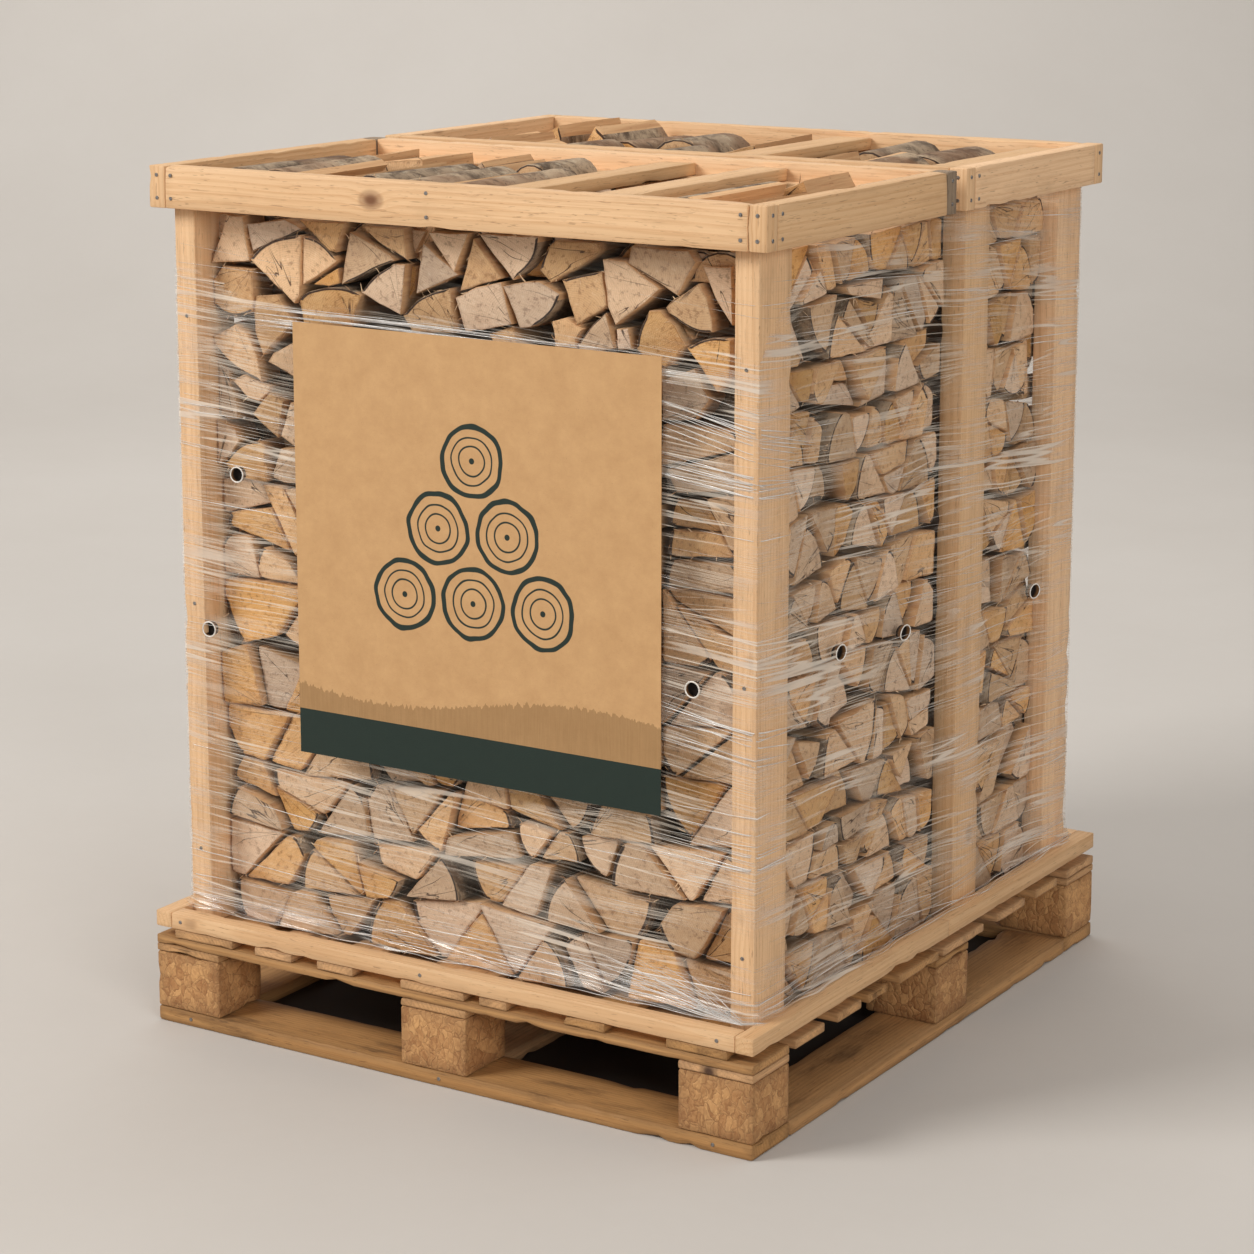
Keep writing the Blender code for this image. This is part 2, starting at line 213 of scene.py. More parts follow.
def sawn_wood(name, light, dark, knot, grime, ring_width, grime_share, roughness):
    """Make a finish for boards that were sawn from a trunk."""
    material, tree, shader = new_finish(name, roughness)
    place = read(tree, "grain")
    tone = read(tree, "tone", "Fac")
    edge = read(tree, "edge", "Fac")
    knot_grid = scaled(tree, place, (2.6, 15.0, 15.0))
    cells = add(tree, "TexVoronoi", {"Vector": knot_grid, "Scale": 1.0, "Randomness": 1.0})
    cell_middle = cells.outputs["Position"]
    offset = add(tree, "VectorMath", {0: knot_grid, 1: cell_middle}, operation="SUBTRACT").outputs[0]
    offset = scaled(tree, offset, (0.26, 0.0667, 0.0667))
    knot_distance = add(tree, "VectorMath", {0: offset}, operation="LENGTH").outputs[1]
    pick = add(tree, "SeparateColor", {0: cells.outputs["Color"]}).outputs[0]
    knot_distance = plus(tree, knot_distance, maths(tree, "LESS_THAN", pick, 0.72))
    knot_near = minus(tree, 1.0, times(tree, knot_distance, 26.0), clamp=True)
    knot_push = times(tree, knot_near, knot_near)
    bend = cloud(tree, scaled(tree, place, (1.6, 8.0, 8.0)), 1.0, 2.0)
    across, upward = parts_of(tree, place)[1:]
    radius = plus(tree, hypotenuse(tree, across, upward), times(tree, bend, 0.020))
    radius = plus(tree, radius, times(tree, knot_push, 0.012))
    phase = maths(tree, "FRACT", maths(tree, "DIVIDE", radius, ring_width))
    ring_end = minus(tree, 1.0, step_between(tree, phase, 0.92, 1.0))
    late_wood = times(tree, step_between(tree, phase, 0.35, 0.92), ring_end)
    fibres = cloud(tree, scaled(tree, place, (7.0, 420.0, 420.0)), 1.0, 2.0)
    patches = cloud(tree, scaled(tree, place, (2.2, 9.0, 9.0)), 1.0, 3.0)
    ring_share = times(tree, late_wood, plus(tree, 0.10, times(tree, patches, 0.40)))
    colour = blend_colour(tree, patches, light, dark)
    colour = blend_colour(tree, 0.62, colour, light)
    colour = blend_colour(tree, ring_share, colour, dark)
    fibre_share = times(tree, step_between(tree, fibres, 0.46, 0.75), 0.42)
    colour = blend_colour(tree, fibre_share, colour, dark)
    torn = cloud(tree, scaled(tree, place, (38.0, 520.0, 520.0)), 1.0, 2.0, 0.5, 0.8)
    torn_share = times(tree, step_between(tree, torn, 0.62, 0.70), 0.45)
    colour = blend_colour(tree, torn_share, colour, knot)
    colour = blend_colour(tree, step_between(tree, knot_distance, 0.012, 0.005), colour, knot)
    ring_round_knot = times(tree, step_between(tree, knot_distance, 0.017, 0.012), 0.45)
    colour = blend_colour(tree, ring_round_knot, colour, knot)
    dirt = cloud(tree, scaled(tree, place, (5.0, 22.0, 22.0)), 1.0, 5.0, 0.65)
    dirt_share = times(tree, step_between(tree, dirt, 0.48, 0.78), grime_share)
    edge_share = times(tree, edge, grime_share * 0.9)
    dirt_share = maths(tree, "MAXIMUM", dirt_share, times(tree, edge_share, dirt))
    colour = blend_colour(tree, dirt_share, colour, grime)
    paint(tree, shader, colour, ranged(tree, tone, 0.80, 1.12), ranged(tree, tone, 1.08, 0.94))
    rough = ranged(tree, dirt, roughness - 0.10, roughness + 0.12, 0.3, 0.8)
    tree.links.new(rough, shader.inputs["Roughness"])
    height = plus(tree, times(tree, fibres, 0.7), times(tree, late_wood, 0.35))
    raise_surface(tree, shader, height, 0.0006, 0.55)
    return material


crate_pine = sawn_wood(
    "Fresh_pine", linear(240, 201, 156), linear(202, 150, 100), linear(122, 78, 46),
    linear(156, 118, 82), 0.0068, 0.34, 0.62,
)
pallet_wood = sawn_wood(
    "Pallet_wood", linear(216, 168, 115), linear(156, 109, 66), linear(72, 45, 26),
    linear(84, 57, 34), 0.0060, 0.84, 0.76,
)
weathered_pine = sawn_wood(
    "Weathered_pine", linear(168, 146, 122), linear(120, 100, 80), linear(70, 52, 38),
    linear(88, 76, 64), 0.0050, 0.60, 0.80,
)
print("sawn wood finishes:", crate_pine.name, pallet_wood.name, weathered_pine.name)

# %% [markdown]
# Pallet blocks are pressed from wood chips. The chips are flat flakes of 3 to 25 mm, each with its own tan
# or brown, glued at all angles. Two sizes of Voronoi cell, bent by noise, give flakes of each size, and the
# gaps between the large ones are darker and lower.

# %% Pressed chips


def pressed_chips():
    """Make the finish of the pallet's blocks."""
    material, tree, shader = new_finish("Pressed_chips", 0.82)
    place = read(tree, "grain")
    tone = read(tree, "tone", "Fac")
    wobble = add(tree, "TexNoise", {"Vector": place, "Scale": 60.0, "Detail": 2.0}).outputs[1]
    shift = {0: wobble, 1: (0.018, 0.018, 0.018), 2: place}
    bent = add(tree, "VectorMath", shift, operation="MULTIPLY_ADD").outputs[0]
    large_place = scaled(tree, bent, (42.0, 60.0, 95.0))
    small_place = scaled(tree, bent, (260.0, 190.0, 320.0))
    large = add(tree, "TexVoronoi", {"Vector": large_place, "Scale": 1.0})
    small = add(tree, "TexVoronoi", {"Vector": small_place, "Scale": 1.0})
    large_tone = add(tree, "SeparateColor", {0: large.outputs["Color"]}).outputs[0]
    small_tone = add(tree, "SeparateColor", {0: small.outputs["Color"]}).outputs[1]
    share = plus(tree, times(tree, large_tone, 0.55), times(tree, small_tone, 0.45))
    colour = blend_colour(tree, share, linear(156, 106, 62), linear(214, 164, 108))
    cells = {"Vector": large_place, "Scale": 1.0}
    seams = add(tree, "TexVoronoi", cells, feature="DISTANCE_TO_EDGE").outputs[0]
    seam_share = times(tree, step_between(tree, seams, 0.035, 0.0), 0.42)
    colour = blend_colour(tree, seam_share, colour, linear(92, 58, 30))
    edge = read(tree, "edge", "Fac")
    dirt = cloud(tree, place, 18.0, 4.0, 0.6)
    dirt_share = times(tree, step_between(tree, dirt, 0.5, 0.75), 0.30)
    dirt_share = maths(tree, "MAXIMUM", dirt_share, times(tree, edge, 0.30))
    colour = blend_colour(tree, dirt_share, colour, linear(96, 66, 40))
    paint(tree, shader, colour, ranged(tree, tone, 0.86, 1.10))
    height = plus(tree, share, times(tree, step_between(tree, seams, 0.0, 0.12), 0.8))
    raise_surface(tree, shader, height, 0.0010, 0.7)
    return material


chip_block = pressed_chips()
print("block finish:", chip_block.name)

# %% [markdown]
# Beech shows three surfaces. The sawn end has fine growth rings round the pith, radial rays, drying cracks
# and the saw's own marks. The split faces are long torn fibres. The bark is thin, smooth and silver grey,
# with darker patches. Each log's mesh stores every point's place measured from that log's pith, and a
# value that says where the point is: on an end's rim, beside bark or a split face, or deep in the stack.

# %% Sawn ends of beech
BARK_RIM = 1.0
SPLIT_RIM = 0.12
DEEP_SIDE = -1.0


def beech_end():
    """Make the finish of the logs' sawn ends."""
    material, tree, shader = new_finish("Beech_end", 0.80)
    place = read(tree, "pith")
    tone = read(tree, "tone", "Fac")
    hue = read(tree, "hue", "Fac")
    rim = read(tree, "edge", "Fac")
    across, upward = parts_of(tree, place)[:2]
    radius = hypotenuse(tree, across, upward)
    angle = maths(tree, "ARCTAN2", upward, across)
    wave = cloud(tree, place, 30.0, 2.0)
    rings = maths(tree, "FRACT", plus(tree, times(tree, radius, 330.0), times(tree, wave, 3.4)))
    ring_line = step_between(tree, rings, 0.55, 0.98)
    ring_strength = cloud(tree, place, 26.0, 2.0)
    polar = joined(tree, times(tree, angle, 9.0), times(tree, radius, 14.0), times(tree, hue, 40.0))
    rays = cloud(tree, scaled(tree, polar, (5.0, 1.0, 1.0)), 1.0, 2.0)
    crack_noise = cloud(tree, scaled(tree, polar, (0.30, 0.42, 1.0)), 1.0, 2.0, 0.45)
    crack_line = maths(tree, "ABSOLUTE", minus(tree, crack_noise, 0.50))
    crack_width = times(tree, step_between(tree, radius, 0.105, 0.020), 0.008)
    crack = step_between(tree, minus(tree, crack_width, crack_line), -0.003, 0.003)
    crack_place = scaled(tree, polar, (0.1, 0.3, 1.0))
    crack_pick = step_between(tree, cloud(tree, crack_place, 1.0, 1.0), 0.49, 0.54)
    crack = times(tree, crack, crack_pick)
    blotch = cloud(tree, place, 34.0, 4.0, 0.6)
    colour = blend_colour(tree, blotch, linear(212, 168, 122), linear(236, 199, 155))
    heart = times(tree, step_between(tree, hue, 0.45, 0.95), 0.40)
    colour = spotted(tree, colour, radius, 0.060, 0.004, heart, (176, 120, 78))
    ring_share = times(tree, ring_line, times(tree, ring_strength, 0.52))
    colour = blend_colour(tree, ring_share, colour, linear(170, 120, 78))
    colour = spotted(tree, colour, rays, 0.55, 0.80, 0.30, (176, 128, 86))
    saw_turn = {"Vector": place, "Angle": times(tree, hue, 3.1)}
    saw_place = add(tree, "VectorRotate", saw_turn, rotation_type="Z_AXIS").outputs[0]
    saw = cloud(tree, scaled(tree, saw_place, (26.0, 900.0, 1.0)), 1.0, 2.0)
    colour = spotted(tree, colour, saw, 0.48, 0.72, 0.30, (180, 136, 96))
    stain = cloud(tree, place, 12.0, 3.0)
    colour = spotted(tree, colour, stain, 0.56, 0.76, 0.34, (150, 112, 82))
    frayed = cloud(tree, place, 120.0, 3.0, 0.7)
    colour = spotted(tree, colour, frayed, 0.55, 0.66, 0.50, (146, 104, 70))
    colour = spotted(tree, colour, frayed, 0.40, 0.30, 0.40, (238, 208, 170))
    rim = plus(tree, rim, times(tree, minus(tree, frayed, 0.5), 0.25))
    bruise = times(tree, maths(tree, "MINIMUM", maths(tree, "MAXIMUM", rim, 0.0), SPLIT_RIM), 3.4)
    colour = blend_colour(tree, bruise, colour, linear(138, 94, 58))
    colour = blend_colour(tree, step_between(tree, rim, 0.16, 0.27), colour, linear(62, 42, 29))
    colour = blend_colour(tree, times(tree, crack, 0.85), colour, linear(72, 44, 26))
    paint(tree, shader, colour, ranged(tree, tone, 0.70, 1.10), ranged(tree, hue, 0.72, 1.24))
    height = minus(tree, times(tree, saw, 0.8), times(tree, crack, 2.5))
    height = plus(tree, height, frayed)
    raise_surface(tree, shader, height, 0.0011, 0.8)
    return material


# %% Split faces of beech


def painted_stack_shade(tree, value):
    """Darken the sides of a wall's logs deep in the stack: painted shade."""
    # Painted shade, full where the stored edge value reaches DEEP_SIDE.
    stack_shade = step_between(tree, read(tree, "edge", "Fac"), 0.0, DEEP_SIDE)
    return times(tree, value, minus(tree, 1.0, times(tree, stack_shade, 0.48)))


def beech_split():
    """Make the finish of the logs' split faces."""
    material, tree, shader = new_finish("Beech_split", 0.84)
    place = read(tree, "pith")
    tone = read(tree, "tone", "Fac")
    fibres = cloud(tree, scaled(tree, place, (190.0, 190.0, 7.0)), 1.0, 4.0, 0.6)
    streaks = cloud(tree, scaled(tree, place, (45.0, 45.0, 3.0)), 1.0, 3.0)
    colour = blend_colour(tree, fibres, linear(180, 128, 82), linear(236, 196, 148))
    colour = spotted(tree, colour, streaks, 0.50, 0.72, 0.55, (168, 116, 72))
    flecks = cloud(tree, scaled(tree, place, (260.0, 260.0, 60.0)), 1.0, 1.0)
    colour = spotted(tree, colour, flecks, 0.66, 0.76, 0.5, (140, 92, 56))
    # Split faces deep in a wall get painted shade.
    paint(tree, shader, colour, painted_stack_shade(tree, ranged(tree, tone, 0.72, 1.04)))
    raise_surface(tree, shader, plus(tree, fibres, streaks), 0.0016, 0.8)
    return material


# %% Beech bark


def beech_bark():
    """Make the finish of the logs' bark."""
    material, tree, shader = new_finish("Beech_bark", 0.86)
    place = read(tree, "pith")
    tone = read(tree, "tone", "Fac")
    patches = cloud(tree, place, 20.0, 5.0, 0.65, 0.6)
    colour = spotted(tree, linear(84, 65, 47), patches, 0.36, 0.62, 1.0, (176, 152, 124))
    lichen = cloud(tree, place, 62.0, 4.0, 0.7)
    colour = spotted(tree, colour, lichen, 0.56, 0.70, 0.50, (206, 190, 164))
    brown = cloud(tree, place, 9.0, 2.0)
    colour = spotted(tree, colour, brown, 0.46, 0.66, 0.65, (124, 86, 56))
    across, upward, along = parts_of(tree, place)
    angle = maths(tree, "ARCTAN2", upward, across)
    bands = cloud(tree, joined(tree, times(tree, angle, 2.2), times(tree, along, 130.0), tone), 1.0, 3.0)
    colour = spotted(tree, colour, bands, 0.58, 0.72, 0.55, (62, 46, 34))
    specks = cloud(tree, place, 240.0, 2.0)
    colour = spotted(tree, colour, specks, 0.60, 0.72, 0.6, (54, 40, 30))
    # Bark deep in a wall gets painted shade.
    paint(tree, shader, colour, painted_stack_shade(tree, ranged(tree, tone, 0.78, 1.10)))
    height = plus(tree, patches, times(tree, lichen, 0.6))
    height = minus(tree, height, times(tree, step_between(tree, bands, 0.58, 0.72), 0.5))
    raise_surface(tree, shader, height, 0.0022, 0.9)
    return material


log_finishes = [beech_end(), beech_split(), beech_bark()]
print("log finishes:", [finish.name for finish in log_finishes])

# %% [markdown]
# Boards. A saw leaves a straight board, but handling rounds and nicks its edges. So a board is a loft: a
# rounded section carried along its length, with nicks pressed into the edges by noise. The noise only
# presses inward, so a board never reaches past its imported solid. The mesh also stores where each point lay
# in the trunk, for the growth rings, and how near it is to an edge, for the wear.

# %% Board maker
BOARD_STEP = 0.016
ARC_STEPS = 2
PIECE_COUNT = {"boards": 0, "small": 0}


def finish_mesh(name, verts, faces, values, finishes, face_finish=None, smooth_angle=40.0):
    """Make an object from points, faces, stored values and finishes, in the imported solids' frame."""
    mesh = bpy.data.meshes.new(name)
    mesh.from_pydata(verts, [], faces)
    for key, data in values.items():
        if isinstance(data[0], (float, int)):
            stored = mesh.attributes.new(key, "FLOAT", "POINT")
            stored.data.foreach_set("value", np.array(data, dtype=np.float32))
        else:
            stored = mesh.attributes.new(key, "FLOAT_VECTOR", "POINT")
            stored.data.foreach_set("vector", np.array(data, dtype=np.float32).ravel())
    for finish in finishes:
        mesh.materials.append(finish)
    if face_finish is not None:
        mesh.polygons.foreach_set("material_index", np.array(face_finish, dtype=np.int32))
    mesh.shade_smooth()
    mesh.set_sharp_from_angle(angle=math.radians(smooth_angle))
    mesh.update()
    piece = bpy.data.objects.new(name, mesh)
    bpy.context.scene.collection.objects.link(piece)
    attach(piece, "root")
    return piece


def join_rings(faces, here, there, sides):
    """Join two rings of points, whose first points are numbered here and there, by faces."""
    for side in range(sides):
        after = (side + 1) % sides
        faces.append((here + side, here + after, there + after, there + side))


def section_loop(width, height, radius, pieces_wide, pieces_high):
    """Return the points of a rounded rectangle, anticlockwise, with how near each is to a corner."""
    half_wide = width / 2.0 - radius
    half_high = height / 2.0 - radius
    corners = (
        (half_wide, -half_high, -90.0),
        (half_wide, half_high, 0.0),
        (-half_wide, half_high, 90.0),
        (-half_wide, -half_high, 180.0),
    )
    loop = []
    for index, (centre_x, centre_y, start) in enumerate(corners):
        for step in range(ARC_STEPS + 1):
            angle = math.radians(start + 90.0 * step / ARC_STEPS)
            loop.append((centre_x + radius * math.cos(angle), centre_y + radius * math.sin(angle), 1.0))
        following = corners[(index + 1) % 4]
        end_angle = math.radians(start + 90.0)
        from_x = centre_x + radius * math.cos(end_angle)
        from_y = centre_y + radius * math.sin(end_angle)
        to_x = following[0] + radius * math.cos(end_angle)
        to_y = following[1] + radius * math.sin(end_angle)
        count = pieces_high if index % 2 == 0 else pieces_wide
        for step in range(1, count):
            share = step / count
            nearness = max(0.0, 1.0 - min(share, 1.0 - share) * 5.0)
            point = (from_x + (to_x - from_x) * share, from_y + (to_y - from_y) * share)
            loop.append((point[0], point[1], nearness * 0.6))
    return loop


def worn_board(name, low, high, finish, seed, radius=0.0018, wear=0.0016, along=None):
    """Loft a sawn board that fills the box from low to high, worn at its edges."""
    chance = random.Random(seed)
    low = Vector(low)
    high = Vector(high)
    size = high - low
    centre = (low + high) / 2.0
    if along is None:
        along = max(range(3), key=lambda axis: size[axis])
    wide_axis, high_axis = ((1, 2), (2, 0), (0, 1))[along]
    length = size[along]
    wide = size[wide_axis]
    tall = size[high_axis]
    radius = min(radius, wide * 0.3, tall * 0.3)
    loop = section_loop(wide, tall, radius, max(2, round(wide / 0.018)), max(2, round(tall / 0.018)))
    stations = [(0.0, -radius, 1.0), (radius * 0.4, -radius * 0.25, 1.0), (radius * 1.2, 0.0, 0.8)]
    count = max(2, round(length / BOARD_STEP))
    for step in range(1, count):
        stations.append((length * step / count, 0.0, 0.0))
    stations.append((length - radius * 1.2, 0.0, 0.8))
    stations.append((length - radius * 0.4, -radius * 0.25, 1.0))
    stations.append((length, -radius, 1.0))
    pith = (chance.uniform(0.02, 0.07) * chance.choice((-1, 1)), chance.uniform(-0.08, 0.08))
    start = chance.uniform(-40.0, 40.0)
    shift = Vector([chance.uniform(0.0, 90.0) for axis in range(3)])
    tone = chance.random()
    verts = []
    grain = []
    edges = []

    def place_point(distance, across, upward, nearness):
        """Store one point of the board and the values that its finish reads."""
        point = Vector((0.0, 0.0, 0.0))
        point[along] = distance - length / 2.0
        point[wide_axis] = across
        point[high_axis] = upward
        sample = point * 34.0 + shift
        nick = max(0.0, noise.noise(sample) - 0.30) * nearness * wear * 3.4
        nick += abs(noise.noise(point * 70.0 + shift)) * 0.0003 * (0.4 + nearness)
        pull = Vector((0.0, 0.0, 0.0))
        pull[wide_axis] = -math.copysign(min(nick, abs(across) * 0.8), across)
        pull[high_axis] = -math.copysign(min(nick, abs(upward) * 0.8), upward)
        verts.append(centre + point + pull)
        grain.append((start + distance, across + pith[0], upward + pith[1]))
        edges.append(nearness)

    for distance, grow, end_nearness in stations:
        for across, upward, nearness in loop:
            across_scale = 1.0 + 2.0 * grow / wide
            upward_scale = 1.0 + 2.0 * grow / tall
            place_point(distance, across * across_scale, upward * upward_scale, max(nearness, end_nearness))
    ring = len(loop)
    faces = []
    for station in range(len(stations) - 1):
        join_rings(faces, station * ring, (station + 1) * ring, ring)
    for distance, base, turn in ((0.0, 0, 1), (length, (len(stations) - 1) * ring, 0)):
        inner = len(verts)
        for across, upward, nearness in loop:
            place_point(distance, across * 0.5, upward * 0.5, 0.0)
        middle = len(verts)
        place_point(distance, 0.0, 0.0, 0.0)
        for index in range(ring):
            after = (index + 1) % ring
            quad = (base + index, base + after, inner + after, inner + index)
            tip = (inner + index, inner + after, middle)
            faces.append(quad[::-1] if turn else quad)
            faces.append(tip[::-1] if turn else tip)
    values = {"grain": grain, "tone": [tone] * len(verts), "edge": edges}
    return finish_mesh(name, verts, faces, values, [finish])


def dress_board(node, name, finish, slot_name, seed, **settings):
    """Replace one packed board by a worn one of the same size and place."""
    low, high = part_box(node)
    piece = worn_board(name, low, high, finish, seed, **settings)
    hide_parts(node)
    PIECE_COUNT["boards"] += 1


# %% [markdown]
# The pallet. Its bottom boards, blocks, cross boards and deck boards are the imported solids' own boxes. A
# packed block also fills the place of the thin packing board on it, so the block is made lower here and a
# board of its own, with its end grain to the front, lies on it.

# %% Pallet
PACKING_BOARD = 0.0115

seed_count = 100
for node in sorted(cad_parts):
    seed_count += 1
    if node.startswith("Bottom_board"):
        dress_board(node, node + "_worn", pallet_wood, "pallet_wood", seed_count, radius=0.003, wear=0.0030)
    elif node.startswith(("Cross_board", "Deck_board")):
        dress_board(node, node + "_worn", pallet_wood, "pallet_wood", seed_count, wear=0.0020)
    elif node.startswith("Block_"):
        low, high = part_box(node)
        split = high.z - PACKING_BOARD
        block = worn_board(
            node + "_chips", low, (high.x, high.y, split), chip_block, seed_count,
            radius=0.003, wear=0.0030, along=1,
        )
        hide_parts(node)
        pad = worn_board(
            node.replace("Block", "Packing_board"), (low.x, low.y, split + 0.0003), high,
            pallet_wood, seed_count + 500, wear=0.0020, along=1,
        )
        PIECE_COUNT["boards"] += 1
        PIECE_COUNT["small"] += 1
print("pallet:", PIECE_COUNT["boards"], "boards and blocks,", PIECE_COUNT["small"], "packing boards")

# %% [markdown]
# The crates. Posts, base rails, laths and slats are fresh pine. At each end of a top frame's side rail a
# short block closes the corner. It is a piece of its own on the real crate, so the side rail is made
# shorter here and the corner blocks are added.

# %% Crates
CORNER_BLOCK = 0.0285
SEAM = 0.0006

for node in sorted(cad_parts):
    seed_count += 1
    if node.startswith(("Post_", "Base_rail", "Lath_", "Slat_")):
        dress_board(node, node + "_sawn", crate_pine, "crate_pine", seed_count)
    elif node.startswith("Top_rail") and node.endswith(("_front", "_back")):
        dress_board(node, node + "_sawn", crate_pine, "crate_pine", seed_count)
    elif node.startswith("Top_rail"):
        low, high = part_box(node)
        near = low.y + CORNER_BLOCK
        far = high.y - CORNER_BLOCK
        rail = worn_board(node + "_sawn", (low.x, near, low.z), (high.x, far, high.z), crate_pine, seed_count)
        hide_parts(node)
        for place, start, end in (("near", low.y, near - SEAM), ("far", far + SEAM, high.y)):
            finish = weathered_pine if (place, "front_crate" in node) == ("far", True) else crate_pine
            block = worn_board(
                "Corner_block_%s_%s" % (node.replace("Top_rail_", ""), place),
                (low.x, start, low.z), (high.x, end, high.z), finish, seed_count + 700, along=2,
            )
            PIECE_COUNT["small"] += 1
        PIECE_COUNT["boards"] += 1
print("with the crates:", PIECE_COUNT["boards"], "boards and", PIECE_COUNT["small"], "small pieces")

# %% [markdown]
# Stacked logs. Each side of a crate shows a wall of log ends: wedges, halves and quarters of round logs.
# Placing hundreds by hand isn't practical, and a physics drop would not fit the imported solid. So a wall is
# laid out as a stacker works: in wavy rows, where wedges stand point up and point down in turn. Leaning cuts
# divide each row, and every outline keeps clear of the row below, which leaves the odd dark gap.

# %% Outlines of the log walls
FRONT_LOG = (0.084, 0.079)
SIDE_LOG = (0.061, 0.073)
ROW_WAVE = 0.29
STACK_MARGIN = 0.002


def sides_of(polygon):
    """Pair each corner of a polygon with the next one."""
    return zip(polygon, polygon[1:] + polygon[:1])


def polygon_area(polygon):
    """Signed area of a polygon, positive when it runs anticlockwise."""
    return sum(here.x * there.y - there.x * here.y for here, there in sides_of(polygon)) / 2.0


def polygon_centre(polygon):
    """Mean of a polygon's corners."""
    return sum(polygon, Vector((0.0, 0.0))) / len(polygon)


def inner_angle(polygon, index):
    """Angle at one corner of a polygon."""
    here = polygon[index]
    before = polygon[index - 1] - here
    after = polygon[(index + 1) % len(polygon)] - here
    return before.angle(after, math.pi)


def clip_polygon(polygon, point, normal):
    """Keep the part of a convex polygon on the side of a line that its normal points away from."""
    kept = []
    for here, there in sides_of(polygon):
        here_side = (here - point).dot(normal)
        there_side = (there - point).dot(normal)
        if here_side <= 0.0:
            kept.append(here)
        if (here_side < 0.0 < there_side) or (there_side < 0.0 < here_side):
            share = here_side / (here_side - there_side)
            kept.append(here.lerp(there, share))
    return kept


def shrink_polygon(polygon, distance):
    """Move each side of a convex polygon inward by the same distance."""
    shrunk = list(polygon)
    for here, there in sides_of(polygon):
        along = (there - here).normalized()
        outward = Vector((along.y, -along.x))
        shrunk = clip_polygon(shrunk, here - outward * distance, outward)
        if len(shrunk) < 3:
            return []
    return shrunk


def row_line(left, right, height, wave, chance):
    """Return the wavy line between two rows of logs, as corners from left to right."""
    line = [Vector((left - chance.uniform(0.0, 0.1), height + chance.uniform(-wave, wave)))]
    while line[-1].x < right:
        line.append(Vector((line[-1].x + chance.uniform(0.08, 0.17), height + chance.uniform(-wave, wave))))
    line.append(Vector((line[-1].x + 0.2, height)))
    return line


def line_height(line, across):
    """Height of a row's line at one place."""
    for here, there in zip(line, line[1:]):
        if here.x <= across <= there.x:
            return here.y + (there.y - here.y) * (across - here.x) / (there.x - here.x)
    return line[0].y if across < line[0].x else line[-1].y


def straight_edge(line, start, end, side):
    """Return the ends of a straight edge that stays above (1) or below (-1) a row's line."""
    low = line_height(line, start)
    high = line_height(line, end)
    push = 0.0
    for corner in line:
        if start < corner.x < end:
            straight = low + (high - low) * (corner.x - start) / (end - start)
            push = max(push, side * (corner.y - straight))
    return Vector((start, low + side * push)), Vector((end, high + side * push))


def leaning_cuts(left, right, width, chance):
    """Return where a row is cut into logs, and how far each cut leans."""
    cuts = [(left, 0.0)]
    lean = chance.choice((-1, 1))
    place = left + width * chance.uniform(0.58, 1.42)
    while place < right - width * 0.55:
        cuts.append((place, lean * chance.uniform(0.20, 1.05)))
        lean = -lean if chance.random() < 0.88 else lean
        place += width * chance.uniform(0.58, 1.42)
    return cuts + [(right, 0.0)]


def logs_in_row(region, below, above, log_size, chance):
    """Cut the band between two row lines into the outlines of split logs."""
    left, right, bottom, top = region
    width, row = log_size
    middle = (below[-1].y + above[-1].y) / 2.0
    found = []
    cuts = leaning_cuts(left, right, width, chance)
    for (start, start_lean), (end, end_lean) in zip(cuts, cuts[1:]):
        outline = [Vector((left, bottom)), Vector((right, bottom)), Vector((right, top)), Vector((left, top))]
        outline = clip_polygon(outline, Vector((start, middle)), Vector((-1.0, start_lean)))
        outline = clip_polygon(outline, Vector((end, middle)), Vector((1.0, -end_lean)))
        for line, side in ((below, 1), (above, -1)):
            near = start - side * start_lean * row / 2.0
            far = max(end - side * end_lean * row / 2.0, near + 0.02)
            first, second = straight_edge(line, near, far, side)
            along = (second - first) * side
            outline = clip_polygon(outline, first, Vector((along.y, -along.x)))
        if len(outline) < 3:
            continue
        pieces = [outline]
        if polygon_area(outline) > row * width * 1.05 and chance.random() < 0.75:
            centre = polygon_centre(outline)
            turn = chance.uniform(-0.7, 0.7) + chance.choice((0.0, math.pi / 2.0))
            normal = Vector((-math.sin(turn), math.cos(turn)))
            pieces = [clip_polygon(outline, centre, normal), clip_polygon(outline, centre, -normal)]
        found += [piece for piece in pieces if len(piece) > 2 and polygon_area(piece) > 0.0009]
    return found


def split_log_outlines(region, seed, log_size):
    """Lay out rows of split logs, seen end on, over a rectangle: left, right, bottom and top."""
    chance = random.Random(seed)
    left, right, bottom, top = region
    rows = max(1, round((top - bottom) / log_size[1]))
    step = (top - bottom) / rows
    lines = [row_line(left, right, bottom, 0.0, chance)]
    for number in range(1, rows):
        lines.append(row_line(left, right, bottom + step * number, step * ROW_WAVE, chance))
    lines.append(row_line(left, right, top, 0.0, chance))
    outlines = []
    for below, above in zip(lines, lines[1:]):
        outlines += logs_in_row(region, below, above, (log_size[0], step), chance)
    return outlines


print("logs in a wall of 0.87 by 1.03 m:", len(split_log_outlines((0.0, 0.867, 0.0, 1.03), 11, FRONT_LOG)))

# %% [markdown]
# One split log. Its section is a cell's outline cut by a circle round the log's pith: the straight sides
# are split faces and the arc is bark. The section is carried along the log, a little rough on the split
# faces, and the sawn end is closed by rings of points so that the end can be slightly dished. The finish of
# each face is chosen by where it lies. In a wall the sides get painted shade, darker inward, and the hidden
# end is one flat face.

